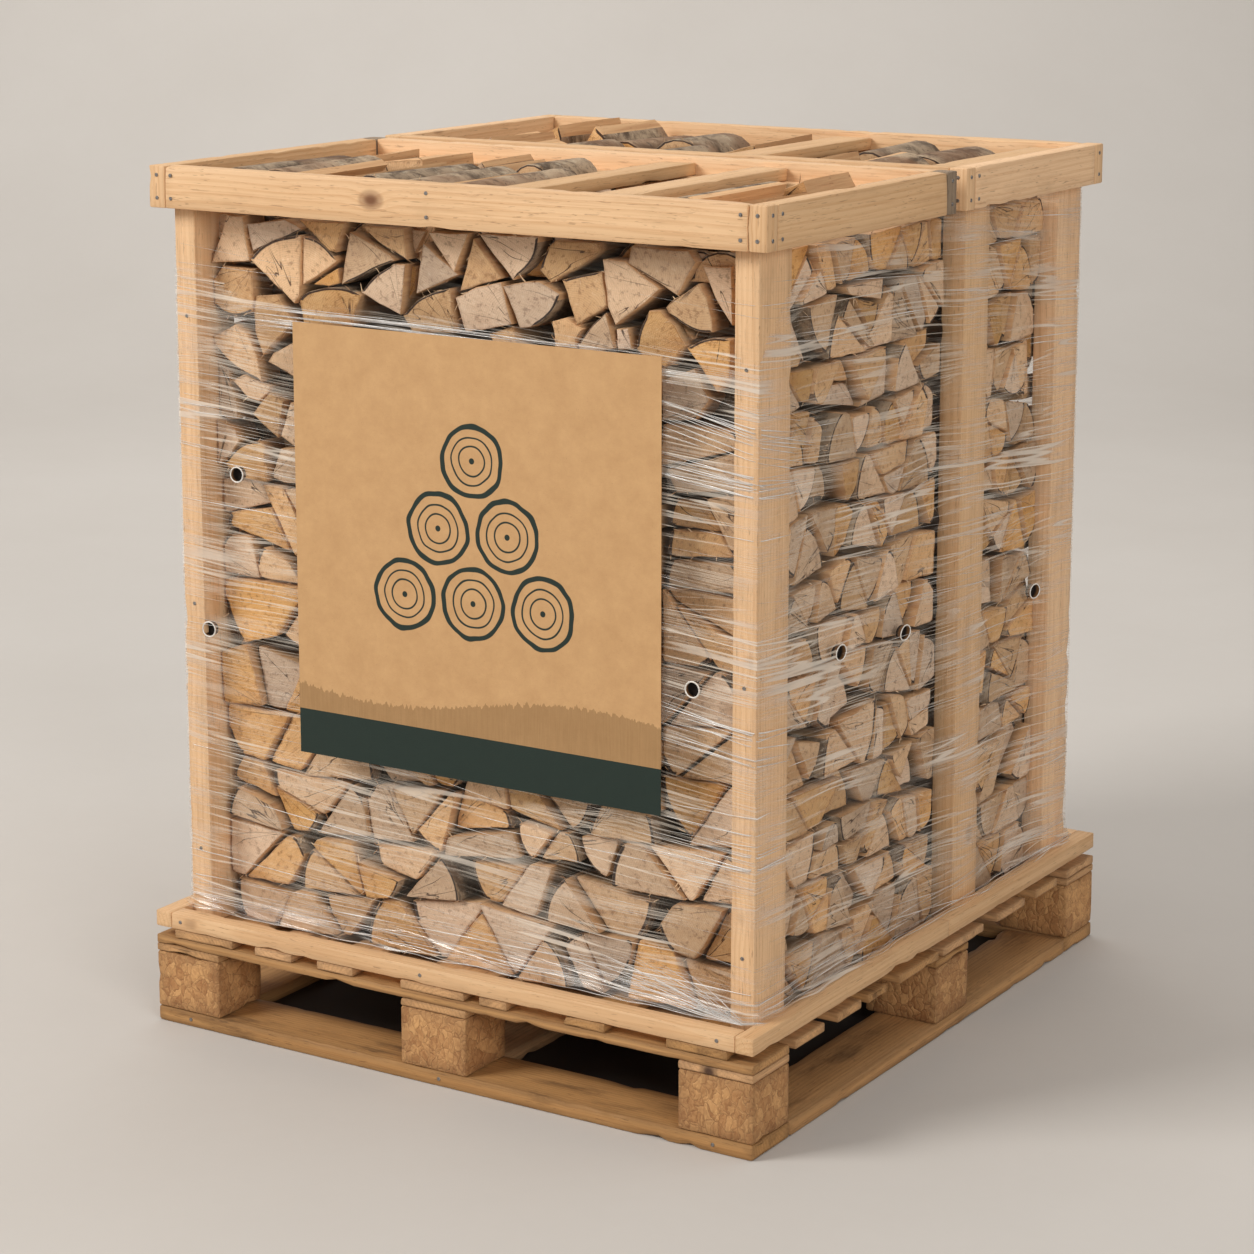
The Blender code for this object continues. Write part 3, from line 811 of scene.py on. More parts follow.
# %% Log maker
END, SPLIT, BARK = 0, 1, 2
SECTION_STEP = 0.0090
RIM_DEPTH = 0.004
LEAN_DEPTH = 0.020
# The sides of a wall's logs reach their full painted shade at this depth.
SHADE_DEPTH = 0.022
CAP_RINGS = (0.865, 0.50)
TOP_LOG_STATIONS = 12
SPLINTER_SHARE = 0.11


def find_pith(outline, chance):
    """Choose where a split log's pith was: at a sharp corner, or mid-side on a half log."""
    angles = [inner_angle(outline, index) for index in range(len(outline))]
    order = sorted(range(len(outline)), key=lambda index: angles[index])
    pick = order[1] if len(outline) == 3 and chance.random() < 0.25 else order[0]
    if angles[pick] < math.radians(80.0):
        return outline[pick].copy()
    sides = range(len(outline))
    longest = max(sides, key=lambda index: (outline[(index + 1) % len(outline)] - outline[index]).length)
    return outline[longest].lerp(outline[(longest + 1) % len(outline)], 0.5)


def log_section(outline, chance):
    """Return a log's section as points with a mark for bark, and its pith."""
    pith = find_pith(outline, chance)
    reach = max((corner - pith).length for corner in outline)
    radius = reach * (1.1 if chance.random() < 0.14 else chance.uniform(0.77, 0.93))
    points = []
    for here, there in sides_of(outline):
        steps = max(1, round((there - here).length / SECTION_STEP))
        for step in range(steps):
            points.append(here.lerp(there, step / steps))
    section = []
    for point in points:
        offset = point - pith
        is_bark = offset.length > radius
        section.append((pith + offset.normalized() * radius, 1.0) if is_bark else (point, 0.0))
    rounded = []
    for index, (point, bark) in enumerate(section):
        beside = section[index - 1][0] + section[(index + 1) % len(section)][0]
        rounded.append((point * 0.68 + beside * 0.16, bark))
    return rounded, pith


class LogPile:
    """Collects the points and faces of many logs for one mesh."""

    def __init__(self):
        self.verts = []
        self.faces = []
        self.kinds = []
        self.pith = []
        self.tone = []
        self.hue = []
        self.edge = []
        self.logs = 0
        self.rim_spots = []

    def point(self, place, local, tone, hue, edge):
        """Add one point with the values that the finishes read."""
        self.verts.append(place)
        self.pith.append(local)
        self.tone.append(tone)
        self.hue.append(hue)
        self.edge.append(edge)
        return len(self.verts) - 1

    def add_log(self, section, pith, length, frame_matrix, chance, both_ends=False, tilt=0.03):
        """Add a log: section lies in the frame's X and Y, and the log runs along its -Z."""
        count = len(section)
        tone = chance.random()
        hue = chance.random()
        shift = Vector([chance.uniform(0.0, 60.0) for axis in range(3)])
        grain_start = Vector((0.0, 0.0, chance.uniform(0.0, 30.0)))
        centre = Vector((0.0, 0.0))
        for point, bark in section:
            centre += point
        centre /= count
        lean = Vector((chance.uniform(-tilt, tilt), chance.uniform(-tilt, tilt)))
        rough_shift = chance.uniform(0.0, 50.0)
        taper = chance.uniform(-0.05, 0.03)

        def put(flat, depth, edge):
            """Place one point of this log."""
            local = Vector((flat.x, flat.y, -depth))
            seen = Vector((flat.x - pith.x, flat.y - pith.y, depth)) + grain_start
            place = frame_matrix @ local
            if edge > 0.0 and depth < RIM_DEPTH and chance.random() < SPLINTER_SHARE:
                self.rim_spots.append((place, frame_matrix.to_3x3() @ Vector((0.0, 0.0, 1.0))))
            return self.point(place, seen, tone, hue, edge)

        def at_depth(depth, shrink=0.0):
            """Add the section's ring of points at one depth."""
            ring = []
            for flat, bark in section:
                rim = BARK_RIM if bark > 0.5 else SPLIT_RIM
                # In a wall, side points deeper than the rim are marked for painted shade.
                if depth > RIM_DEPTH:
                    rim = 0.0 if both_ends else DEEP_SIDE
                offset = flat - centre
                sample = Vector((flat.x * 46.0, flat.y * 46.0, depth * 9.0)) + shift
                swell = noise.noise(sample) * (0.0012 if bark > 0.5 else 0.0022)
                away = offset.normalized()
                scale = 1.0 + taper * depth / max(length, 0.001)
                moved = centre + offset * scale + away * (min(swell, 0.0008) - shrink)
                sag = lean.x * offset.x + lean.y * offset.y
                ring.append(put(moved, depth + sag if depth < LEAN_DEPTH else depth, rim))
            return ring

        def cap(ring, depth, outward):
            """Close one end with rings of points inside the rim."""
            previous = ring
            for share in CAP_RINGS:
                inner = []
                for flat, bark in section:
                    moved = centre + (flat - centre) * share
                    offset = moved - centre
                    sag = lean.x * offset.x + lean.y * offset.y
                    dish = noise.noise(Vector((moved.x * 30.0, moved.y * 30.0, rough_shift))) * 0.0012
                    inner.append(put(moved, depth + sag + dish, 0.0))
                self.join(previous, inner, END, outward)
                previous = inner
            tip = put(centre, depth, 0.0)
            for index in range(count):
                after = (index + 1) % count
                face = (previous[index], previous[after], tip)
                self.faces.append(face if outward else face[::-1])
                self.kinds.append(END)

        first = at_depth(0.0, 0.0010)
        rings = [first, at_depth(0.0012)]
        if both_ends:
            stations = range(1, TOP_LOG_STATIONS + 1)
            rings += [at_depth(length * step / TOP_LOG_STATIONS) for step in stations]
        else:
            rings += [at_depth(SHADE_DEPTH), at_depth(length)]
        cap(first, 0.0, True)
        for before, after in zip(rings, rings[1:]):
            self.join_side(before, after, section)
        if both_ends:
            cap(rings[-1], length, False)
        else:
            self.faces.append(tuple(reversed(rings[-1])))
            self.kinds.append(END)
        self.logs += 1

    def join(self, outer, inner, kind, outward):
        """Join two rings of points on an end."""
        count = len(outer)
        for index in range(count):
            after = (index + 1) % count
            face = (outer[index], outer[after], inner[after], inner[index])
            self.faces.append(face if outward else face[::-1])
            self.kinds.append(kind)

    def join_side(self, near, far, section):
        """Join two rings of points along the log, as split wood or bark."""
        count = len(near)
        for index in range(count):
            after = (index + 1) % count
            self.faces.append((near[after], near[index], far[index], far[after]))
            is_bark = section[index][1] > 0.5 and section[after][1] > 0.5
            self.kinds.append(BARK if is_bark else SPLIT)

    def make(self, name):
        """Make the mesh object of all logs so far."""
        values = {"pith": self.pith, "tone": self.tone, "hue": self.hue, "edge": self.edge}
        return finish_mesh(name, self.verts, self.faces, values, log_finishes, self.kinds, 50.0)


# %% [markdown]
# The walls of each stack. A wall has its own frame: X runs along the wall, Y runs up and Z points out. Logs
# in the front and back walls are 25 cm long, but short near the corners, and those in the side walls are
# short ends laid crosswise, so that the two directions don't run into each other behind the posts.

# %% Log walls
STACK_HALF = 0.4355
LOG_REACH = 0.0145
FRONT_UNEVEN = 0.018
SIDE_UNEVEN = 0.007
FULL_LOG = 0.250
SHORT_LOG = 0.100
CORNER_LOG = 0.045
CORNER_ZONE = 0.320
STACK_CORE_TOP = 1.178


def wall_frame(corner, across):
    """Return the matrix that takes a wall's own X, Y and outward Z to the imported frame."""
    up = Vector((0.0, 0.0, 1.0))
    outward = across.cross(up)
    return Matrix((
        (across.x, up.x, outward.x, corner.x),
        (across.y, up.y, outward.y, corner.y),
        (across.z, up.z, outward.z, corner.z),
        (0.0, 0.0, 0.0, 1.0),
    ))


def fill_wall(pile, corner, across, regions, width, seed, log_size):
    """Fill regions of one wall of a stack with logs. A region is left, right, bottom and top."""
    matrix = wall_frame(corner, across)
    for number, region in enumerate(regions):
        shape = random.Random(seed + 2000 + number)
        for cell in split_log_outlines(region, seed + number * 17, log_size):
            reach = LOG_REACH - shape.uniform(0.0, FRONT_UNEVEN if log_size == FRONT_LOG else SIDE_UNEVEN)
            if shape.random() < 0.10:
                reach -= shape.uniform(0.006, 0.018)
            outline = shrink_polygon(cell, shape.uniform(0.0008, 0.0036))
            if len(outline) < 3 or polygon_area(outline) < 0.0007:
                continue
            section, pith = log_section(outline, shape)
            middle = polygon_centre(outline)
            length = SHORT_LOG
            if log_size == FRONT_LOG:
                from_middle = abs(middle.x - width / 2.0)
                length = FULL_LOG if from_middle < CORNER_ZONE else CORNER_LOG
            turn = Matrix.Rotation(shape.uniform(-0.05, 0.05), 4, "Z")
            centre = Matrix.Translation((middle.x, middle.y, 0.0))
            place = matrix @ Matrix.Translation((0.0, 0.0, reach)) @ centre @ turn @ centre.inverted()
            pile.add_log(section, pith, length + reach, place, shape)


# %% [markdown]
# The top rows of the front wall and the logs beside the sign's upper half show clearly, so they are placed
# one by one. Each entry gives how far the log stands back, which of its corners the bark runs between (-1
# for a piece with no bark) and its corners across and up, all in millimetres.

# %% Logs placed one by one
FRONT_LOGS = (
    (2, -1, -1, ((-405, 1178), (-377, 1177), (-366, 1115), (-433, 1108))),
    (4, 2, 5, ((-369, 1166), (-303, 1177), (-275, 1165), (-304, 1152), (-337, 1139), (-361, 1129))),
    (3, -1, -1, ((-278, 1178), (-200, 1178), (-216, 1137), (-227, 1138))),
    (4, 2, 5, ((-170, 1175), (-101, 1177), (-97, 1135), (-117, 1142), (-146, 1155), (-164, 1169))),
    (2, -1, -1, ((-60, 1175), (6, 1177), (-18, 1123))),
    (24, -1, -1, ((-110, 1173), (-79, 1172), (-98, 1139), (-109, 1134))),
    (1, 1, 4, ((23, 1177), (120, 1180), (117, 1156), (101, 1136), (78, 1119))),
    (0, 0, 3, ((-363, 1118), (-346, 1136), (-317, 1150), (-274, 1158), (-277, 1073), (-286, 1061))),
    (3, 0, 3, ((-272, 1156), (-248, 1152), (-227, 1138), (-215, 1125), (-243, 1105), (-273, 1088))),
    (1, 2, 5, ((-191, 1167), (-151, 1153), (-114, 1133), (-147, 1121), (-173, 1107), (-206, 1093))),
    (8, -1, -1, ((-259, 1089), (-232, 1107), (-217, 1114), (-213, 1094), (-232, 1088))),
    (3, -1, -1, ((-68, 1159), (-11, 1120), (-47, 1105), (-82, 1089))),
    (2, -1, -1, ((15, 1171), (59, 1120), (-8, 1099))),
    (6, 0, 2, ((-176, 1084), (-156, 1107), (-118, 1128), (-101, 1127), (-110, 1058), (-146, 1070))),
    (22, -1, -1, ((-109, 1125), (-95, 1123), (-97, 1093), (-117, 1061))),
    (4, 0, 4, ((-281, 1066), (-273, 1077), (-229, 1088), (-186, 1087), (-175, 1080), (-192, 1036),
     (-274, 1030))),
    (3, 0, 3, ((-103, 1058), (-81, 1081), (-55, 1093), (-24, 1101), (-17, 1040), (-89, 1037))),
    (3, -1, -1, ((-18, 1089), (17, 1105), (58, 1115), (75, 1060), (37, 1051), (-1, 1044))),
    (10, -1, -1, ((32, 1043), (70, 1056), (81, 1031), (42, 1028))),
    (5, 2, 5, ((-416, 1104), (-363, 1103), (-364, 1044), (-393, 1032), (-424, 1038), (-433, 1050),
     (-433, 1084))),
    (3, -1, -1, ((-356, 1066), (-321, 1070), (-290, 1036), (-346, 983), (-359, 1014), (-361, 1045))),
    (3, 5, 7, ((146, 1176), (212, 1177), (215, 1167), (178, 1142), (138, 1121), (121, 1136),
     (127, 1159), (134, 1168))),
    (2, -1, -1, ((263, 1176), (349, 1176), (360, 1162), (332, 1118), (255, 1154))),
    (16, -1, -1, ((362, 1156), (404, 1158), (405, 1082), (380, 1116))),
    (2, 3, 6, ((60, 1110), (95, 1118), (119, 1121), (152, 1106), (146, 1088), (129, 1071), (105, 1057),
     (88, 1056), (80, 1074))),
    (4, 0, 2, ((154, 1124), (180, 1133), (216, 1140), (224, 1096), (200, 1080), (177, 1066),
     (167, 1091))),
    (0, -1, -1, ((219, 1157), (253, 1156), (306, 1124), (284, 1105), (239, 1071), (228, 1096))),
    (4, 5, 8, ((313, 1100), (327, 1112), (362, 1135), (374, 1118), (383, 1090), (384, 1073),
     (367, 1070), (335, 1082), (317, 1094))),
    (5, -1, -1, ((137, 1068), (158, 1074), (186, 1062), (175, 1046), (176, 1035), (141, 1034))),
    (3, 0, 2, ((179, 1040), (201, 1070), (222, 1086), (236, 1040), (185, 1029))),
    (8, -1, -1, ((235, 1066), (253, 1068), (259, 1041), (238, 1039))),
    (3, 0, 2, ((270, 1043), (274, 1069), (289, 1094), (306, 1096), (329, 1078), (344, 1053),
     (332, 1037), (313, 1022), (283, 1031))),
    (20, -1, -1, ((323, 1078), (331, 1075), (348, 1060), (335, 1053))),
    (2, 0, 3, ((347, 1050), (366, 1062), (388, 1068), (411, 1066), (410, 1015), (393, 996),
     (376, 1017))),
    (6, -1, -1, ((308, 1003), (334, 1015), (356, 1024), (368, 1001), (377, 984), (356, 956),
     (308, 952))),
    (3, 5, 8, ((-433, 1004), (-397, 1023), (-376, 1014), (-367, 1001), (-356, 978), (-350, 946),
     (-388, 957), (-420, 976), (-432, 992))),
    (8, -1, -1, ((-342, 974), (-332, 987), (-290, 1007), (-274, 981), (-291, 954), (-314, 963))),
    (12, -1, -1, ((-433, 942), (-433, 966), (-416, 956), (-413, 932), (-404, 919), (-402, 886),
     (-417, 883), (-433, 890))),
    (6, -1, -1, ((-406, 943), (-385, 952), (-355, 943), (-338, 940), (-339, 932), (-358, 916),
     (-378, 920))),
    (3, -1, -1, ((-368, 898), (-336, 931), (-312, 922), (-323, 868), (-342, 880))),
    (5, -1, -1, ((-302, 920), (-278, 917), (-280, 858), (-291, 857), (-319, 871))),
    (4, -1, -1, ((-433, 880), (-433, 884), (-400, 873), (-392, 857), (-412, 832), (-433, 819),
     (-433, 831))),
    (1, 0, 4, ((-419, 823), (-404, 840), (-384, 855), (-366, 861), (-349, 860), (-344, 854),
     (-347, 834), (-341, 824), (-343, 803), (-365, 802), (-398, 806))),
    (5, -1, -1, ((-335, 818), (-320, 852), (-280, 860), (-281, 807), (-316, 805), (-334, 810))),
)


def placed_section(corners, first, last):
    """Turn an entry's corners into a section with bark marks, and choose its pith."""
    points = [Vector(corner) for corner in corners]
    count = len(points)
    bark_sides = set()
    if first >= 0:
        index = first % count
        while index != last % count:
            bark_sides.add(index)
            index = (index + 1) % count
    section = []
    for index, (here, there) in enumerate(sides_of(points)):
        steps = max(1, round((there - here).length / SECTION_STEP))
        is_bark = index in bark_sides
        from_bark = (index - 1) % count in bark_sides
        for step in range(steps):
            mark = 1.0 if is_bark and (step > 0 or from_bark) else 0.0
            section.append((here.lerp(there, step / steps), mark))
    for smoothing in range(3):
        flat = [point for point, mark in section]
        total = len(flat)
        for index in range(total):
            if section[index][1] > 0.5:
                middle = (flat[index - 1] + flat[(index + 1) % total]) / 2.0
                section[index] = (flat[index].lerp(middle, 0.5), 1.0)
    if polygon_area(points) < 0.0:
        section.reverse()
    if bark_sides:
        bark_points = [point for point, mark in section if mark > 0.5]
        bark_middle = bark_points[len(bark_points) // 2]
        pith = max(points, key=lambda point: (point - bark_middle).length)
    else:
        pith = points[min(range(count), key=lambda index: inner_angle(points, index))]
    return section, pith.copy()


def place_front_logs(pile, corner):
    """Add the listed logs to the front wall."""
    chance = random.Random(77)
    matrix = wall_frame(corner, Vector((1.0, 0.0, 0.0)))
    for back, first, last, corners in FRONT_LOGS:
        local = [(across / 1000.0 - corner.x, upward / 1000.0 - corner.z) for across, upward in corners]
        section, pith = placed_section(local, first, last)
        middle_across = sum(point[0] for point in corners) / len(corners) / 1000.0
        length = FULL_LOG if abs(middle_across) < CORNER_ZONE else CORNER_LOG
        place = matrix @ Matrix.Translation((0.0, 0.0, LOG_REACH - back / 1000.0))
        pile.add_log(section, pith, length, place, chance)


def front_regions(width, bottom):
    """Return the parts of the front wall that aren't placed one by one."""
    left, right = STACK_MARGIN, width - STACK_MARGIN
    sign_left, sign_right = STACK_HALF - 0.240, STACK_HALF + 0.302
    low = STACK_MARGIN
    shelf = 0.470 - bottom
    ledge = 0.800 - bottom
    return [
        (left, right, low, shelf),
        (left, sign_left, shelf, ledge),
        (sign_left, sign_right, shelf, ledge),
        (sign_left - 0.030, sign_right, ledge, 1.025 - bottom),
        (sign_right, right, shelf, 0.950 - bottom),
    ]


def stack_walls(node, front, back, span, seed):
    """Fill the walls of one crate's stack and return the pile."""
    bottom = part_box(node)[0].z
    pile = LogPile()
    near, far = span["near"], span["far"]
    depth = far - near
    width = STACK_HALF * 2.0
    low, high = STACK_MARGIN, STACK_CORE_TOP - bottom - STACK_MARGIN
    rightward = Vector((1.0, 0.0, 0.0))
    away = Vector((0.0, 1.0, 0.0))
    start = span["start"] - near
    end = far - span["end"]
    full = [(STACK_MARGIN, width - STACK_MARGIN, low, high)]
    if front:
        corner = Vector((-STACK_HALF, near, bottom))
        fill_wall(pile, corner, rightward, front_regions(width, bottom), width, seed, FRONT_LOG)
        place_front_logs(pile, corner)
    if back:
        corner = Vector((STACK_HALF, far, bottom))
        fill_wall(pile, corner, -rightward, full, width, seed + 1, FRONT_LOG)
    corner = Vector((STACK_HALF, near, bottom))
    fill_wall(pile, corner, away, [(start, depth - end, low, high)], depth, seed + 2, SIDE_LOG)
    corner = Vector((-STACK_HALF, far, bottom))
    fill_wall(pile, corner, -away, [(end, depth - start, low, high)], depth, seed + 3, SIDE_LOG)
    return pile


# %% [markdown]
# The logs on top lie from front to back, on their neighbours, with bark or a split face up. Each is a wedge
# or half log with both ends made, turned and tipped a little. They stay under the slats.

# %% Logs on top
SLAT_CLEARANCE = 0.012


def lying_section(chance, across, tall):
    """Return the section of a wedge or half log with its bark on top or to one side."""
    kind = chance.random()
    steps = 9
    outline = []
    if kind < 0.34:
        for step in range(steps + 1):
            angle = math.pi * step / steps
            is_bark = 0.0 if step in (0, steps) else 1.0
            outline.append((Vector((math.cos(angle) * across, math.sin(angle) * tall)), is_bark))
        for step in range(1, 8):
            outline.append((Vector((-across + 2.0 * across * step / 8.0, 0.0)), 0.0))
        pith = Vector((0.0, 0.0))
    else:
        turn = chance.uniform(-0.5, 0.5) + (0.0 if kind < 0.60 else chance.choice((1.7, -1.7, 2.6)))
        spread = chance.uniform(1.2, 1.7)
        pith = Vector((0.0, tall * 0.2))
        reach = across * 1.45
        for step in range(7):
            angle = turn + spread * (step / 6.0 - 0.5) + math.pi / 2.0
            is_bark = 0.0 if step in (0, 6) else 1.0
            outline.append((pith + Vector((math.cos(angle), math.sin(angle))) * reach, is_bark))
        first, last = outline[0][0], outline[-1][0]
        for step in range(1, 6):
            outline.append((last.lerp(pith, step / 6.0), 0.0))
        outline.append((pith.copy(), 0.0))
        for step in range(1, 6):
            outline.append((pith.lerp(first, step / 6.0), 0.0))
    return outline, pith


def top_logs(pile, rows, floor_height, ceilings, seed):
    """Lay logs side by side on top of a stack, each up to the ceiling over its own place."""
    open_ceiling, slat_ceiling, slats = ceilings
    chance = random.Random(seed)
    laid = 0
    for near, far in rows:
        left = -STACK_HALF + 0.004
        while left < STACK_HALF - 0.050:
            across = chance.uniform(0.028, 0.050)
            middle = min(left + across, STACK_HALF - across - 0.004)
            tall = chance.uniform(0.036, 0.052)
            section, pith = lying_section(chance, across, tall)
            length = (far - near) * chance.uniform(0.88, 1.0)
            start = near + (far - near - length) * chance.random()
            lowest = min(point.y for point, bark in section)
            highest = max(point.y for point, bark in section)
            ceiling = open_ceiling
            for low, high in slats:
                if middle - across < high + SLAT_CLEARANCE and middle + across > low - SLAT_CLEARANCE:
                    ceiling = slat_ceiling
            lift = ceiling - 0.002 - highest - abs(chance.gauss(0.0, 0.005))
            lift = max(lift, floor_height - lowest)
            turn = Euler((math.radians(90.0 + chance.uniform(-1.0, 1.0)), 0.0, chance.uniform(-0.05, 0.05)))
            matrix = Matrix.Translation((middle, start, lift)) @ turn.to_matrix().to_4x4()
            pile.add_log(section, pith, length, matrix, chance, both_ends=True, tilt=0.10)
            laid += 1
            left = middle + across * chance.uniform(0.84, 1.02)
    return laid


TOP_LOG_CEILING = 1.246
SLAT_CEILING = 1.2215
splinter_spots = []
# Each stack: its node, whether it has a front and a back wall, the wall's extent from front to back and
# where the side walls start and end, its rows of lying logs, its seed and the slats over it.
stack_specs = (
    ("Log_stack_front", True, False, {"near": -0.440, "far": 0.0767, "start": -0.398, "end": 0.074},
     ((-0.436, -0.190), (-0.180, -0.042)), 11, ("Slat_front_left", "Slat_front_right")),
    ("Log_stack_back", False, True, {"near": 0.077, "far": 0.450, "start": 0.176, "end": 0.400},
     ((0.084, 0.250), (0.258, 0.446)), 47, ("Slat_back", "Slat_back_side")),
)
for node, front, back, span, rows, seed, slat_names in stack_specs:
    pile = stack_walls(node, front, back, span, seed)
    wall_logs = pile.logs
    under = (STACK_CORE_TOP + 0.002, STACK_CORE_TOP + 0.002, [])
    laid = top_logs(pile, rows, STACK_CORE_TOP - 0.060, under, seed + 6)
    slats = [(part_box(slat)[0].x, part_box(slat)[1].x) for slat in slat_names]
    over = (TOP_LOG_CEILING, SLAT_CEILING, slats)
    laid += top_logs(pile, rows, STACK_CORE_TOP - 0.020, over, seed + 5)
    splinter_spots.extend(pile.rim_spots)
    stack = pile.make(node + "_logs")
    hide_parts(node)
    triangles = sum(len(face) - 2 for face in pile.faces)
    print(node, wall_logs, "logs in the walls,", laid, "on top,", triangles, "triangles")

# %% [markdown]
# Splinters. A splitter leaves loose fibres and chips on the edges of every log end, and they show as pale
# ticks in the dark gaps. Each is a thin curved sliver that starts on a log's rim and leans out of the wall.

# %% Splinters


def sliver_finish():
    """Make the finish of loose pale fibres."""
    material, tree, shader = new_finish("Loose_fibre", 0.85)
    tone = read(tree, "tone", "Fac")
    place = read(tree, "pith")
    fibre = cloud(tree, place, 300.0, 2.0)
    colour = blend_colour(tree, tone, linear(150, 104, 64), linear(242, 212, 172))
    colour = blend_colour(tree, times(tree, fibre, 0.3), colour, linear(120, 84, 54))
    tree.links.new(colour, shader.inputs["Base Color"])
    raise_surface(tree, shader, fibre, 0.0004, 0.5)
    return material


def build_splinters():
    """Make all slivers as one mesh."""
    chance = random.Random(5)
    verts = []
    faces = []
    tones = []
    places = []
    for spot, outward in splinter_spots:
        length = chance.uniform(0.004, 0.015)
        thick = chance.uniform(0.0004, 0.0011)
        lean = Vector([chance.uniform(-1, 1) for axis in range(3)])
        way = (lean + outward * chance.uniform(0.1, 0.7)).normalized()
        side = way.cross(outward).normalized()
        if side.length < 0.5:
            continue
        other = way.cross(side).normalized()
        curl = side * chance.uniform(-0.25, 0.25) * length
        first = len(verts)
        tone = chance.random()
        for share, size in ((0.0, 1.0), (0.4, 0.9), (0.75, 0.6), (1.0, 0.12)):
            middle = spot - outward * 0.001 + way * length * share + curl * share * share
            for angle in (0.0, 2.094, 4.189):
                offset = side * math.cos(angle) + other * math.sin(angle) * 0.6
                verts.append(middle + offset * thick * size)
                tones.append(tone)
                places.append((spot.x + share * length, spot.y, spot.z + angle * 0.001))
        for ring in range(3):
            join_rings(faces, first + ring * 3, first + ring * 3 + 3, 3)
        faces.append((first + 2, first + 1, first))
        faces.append((first + 9, first + 10, first + 11))
    slivers = finish_mesh("Splinters", verts, faces, {"tone": tones, "pith": places}, [sliver_finish()])
    return slivers


slivers = build_splinters()
print("splinters:", len(splinter_spots), "slivers,", len(slivers.data.polygons), "faces")

# %% [markdown]
# Nails. The rails are nailed to their corner blocks and posts, and the heads show as small steel discs set
# a little into the wood. Each is a shallow dome with a rim.

# %% Nails
NAIL_RADIUS = 0.0028
NAIL_RISE = 0.0009
NAIL_SIDES = 12


def steel_finish():
    """Make the finish of nail heads: dull steel with a few rust spots."""
    material, tree, shader = new_finish("Nail_steel", 0.38)
    place = add(tree, "TexCoord").outputs["Object"]
    rust = cloud(tree, place, 700.0, 3.0)
    rusty = step_between(tree, rust, 0.52, 0.66)
    colour = blend_colour(tree, rusty, linear(150, 148, 146), linear(92, 62, 44))
    tree.links.new(colour, shader.inputs["Base Color"])
    shader.inputs["Metallic"].default_value = 0.85
    raise_surface(tree, shader, rust, 0.0002, 0.4)
    return material


def build_nails(spots):
    """Make all nail heads as one mesh. A spot is a place on the wood and the side it faces."""
    verts = []
    faces = []
    for place, outward in spots:
        centre = Vector(place)
        outward = Vector(outward)
        side = Vector((0.0, 0.0, 1.0)) if abs(outward.z) < 0.5 else Vector((1.0, 0.0, 0.0))
        across = side.cross(outward).normalized()
        first = len(verts)
        rings = ((1.0, -0.0010), (1.0, 0.0004), (0.86, NAIL_RISE), (0.42, NAIL_RISE * 1.15))
        for reach, rise in rings:
            for step in range(NAIL_SIDES):
                angle = math.tau * step / NAIL_SIDES
                offset = (across * math.cos(angle) + side * math.sin(angle)) * reach * NAIL_RADIUS
                verts.append(centre + offset + outward * rise)
        verts.append(centre + outward * NAIL_RISE * 1.2)
        for ring in range(len(rings) - 1):
            here = first + ring * NAIL_SIDES
            there = here + NAIL_SIDES
            join_rings(faces, here, there, NAIL_SIDES)
        for step in range(NAIL_SIDES):
            faces.append((there + step, there + (step + 1) % NAIL_SIDES, len(verts) - 1))
    nails = finish_mesh("Nail_heads", verts, faces, {}, [steel_finish()])


def nail_spots():
    """List where nails are, from the boxes of the boards that they hold."""
    spots = []
    for node in sorted(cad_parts):
        low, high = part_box(node)
        if node.startswith("Top_rail"):
            lower, upper = low.z + 0.014, high.z - 0.013
            if node.endswith("_front"):
                for across in (low.x + 0.010, (low.x * 1.1 + high.x) / 2.1, high.x - 0.010):
                    for height in (lower, upper):
                        spots.append(((across, low.y, height), (0, -1, 0)))
            elif node.endswith("_back"):
                for across in (low.x + 0.010, high.x - 0.010):
                    for height in (lower, upper):
                        spots.append(((across, high.y, height), (0, 1, 0)))
            else:
                outward = 1 if node.endswith("_right") else -1
                face = high.x if outward > 0 else low.x
                for along in (low.y + 0.014, low.y + CORNER_BLOCK + 0.010, high.y - 0.014):
                    for height in (lower, upper):
                        spots.append(((face, along, height), (outward, 0, 0)))
                for height in (lower, upper):
                    spots.append((((low.x + high.x) / 2.0, low.y, height), (0, -1, 0)))
        elif node.startswith("Base_rail_front"):
            for across in (-0.455, -0.030, 0.445):
                spots.append(((across, low.y, (low.z + high.z) / 2.0), (0, -1, 0)))
        elif node.startswith("Post_front"):
            for height in (1.035, 0.62, 0.255):
                spots.append((((low.x + high.x) / 2.0, low.y, height), (0, -1, 0)))
        elif node.startswith("Bottom_board_front"):
            for across in (-0.440, 0.0, 0.440):
                spots.append(((across, low.y, (low.z + high.z) / 2.0), (0, -1, 0)))
    return spots


heads = nail_spots()
build_nails(heads)
print("nails:", len(heads))

# %% [markdown]
# Stretch film. Several layers of thin clear film go round the load in a slow downward spiral. They show as
# a faint haze, and as hundreds of white streaks along the creases where the film stretched. The streaks are
# painted highlights: the finish keeps the film almost clear and makes it denser and white along them, and
# they follow the spiral. A few air holes are punched through all layers.

# %% Film finish
SPIRAL_DROP = 0.070


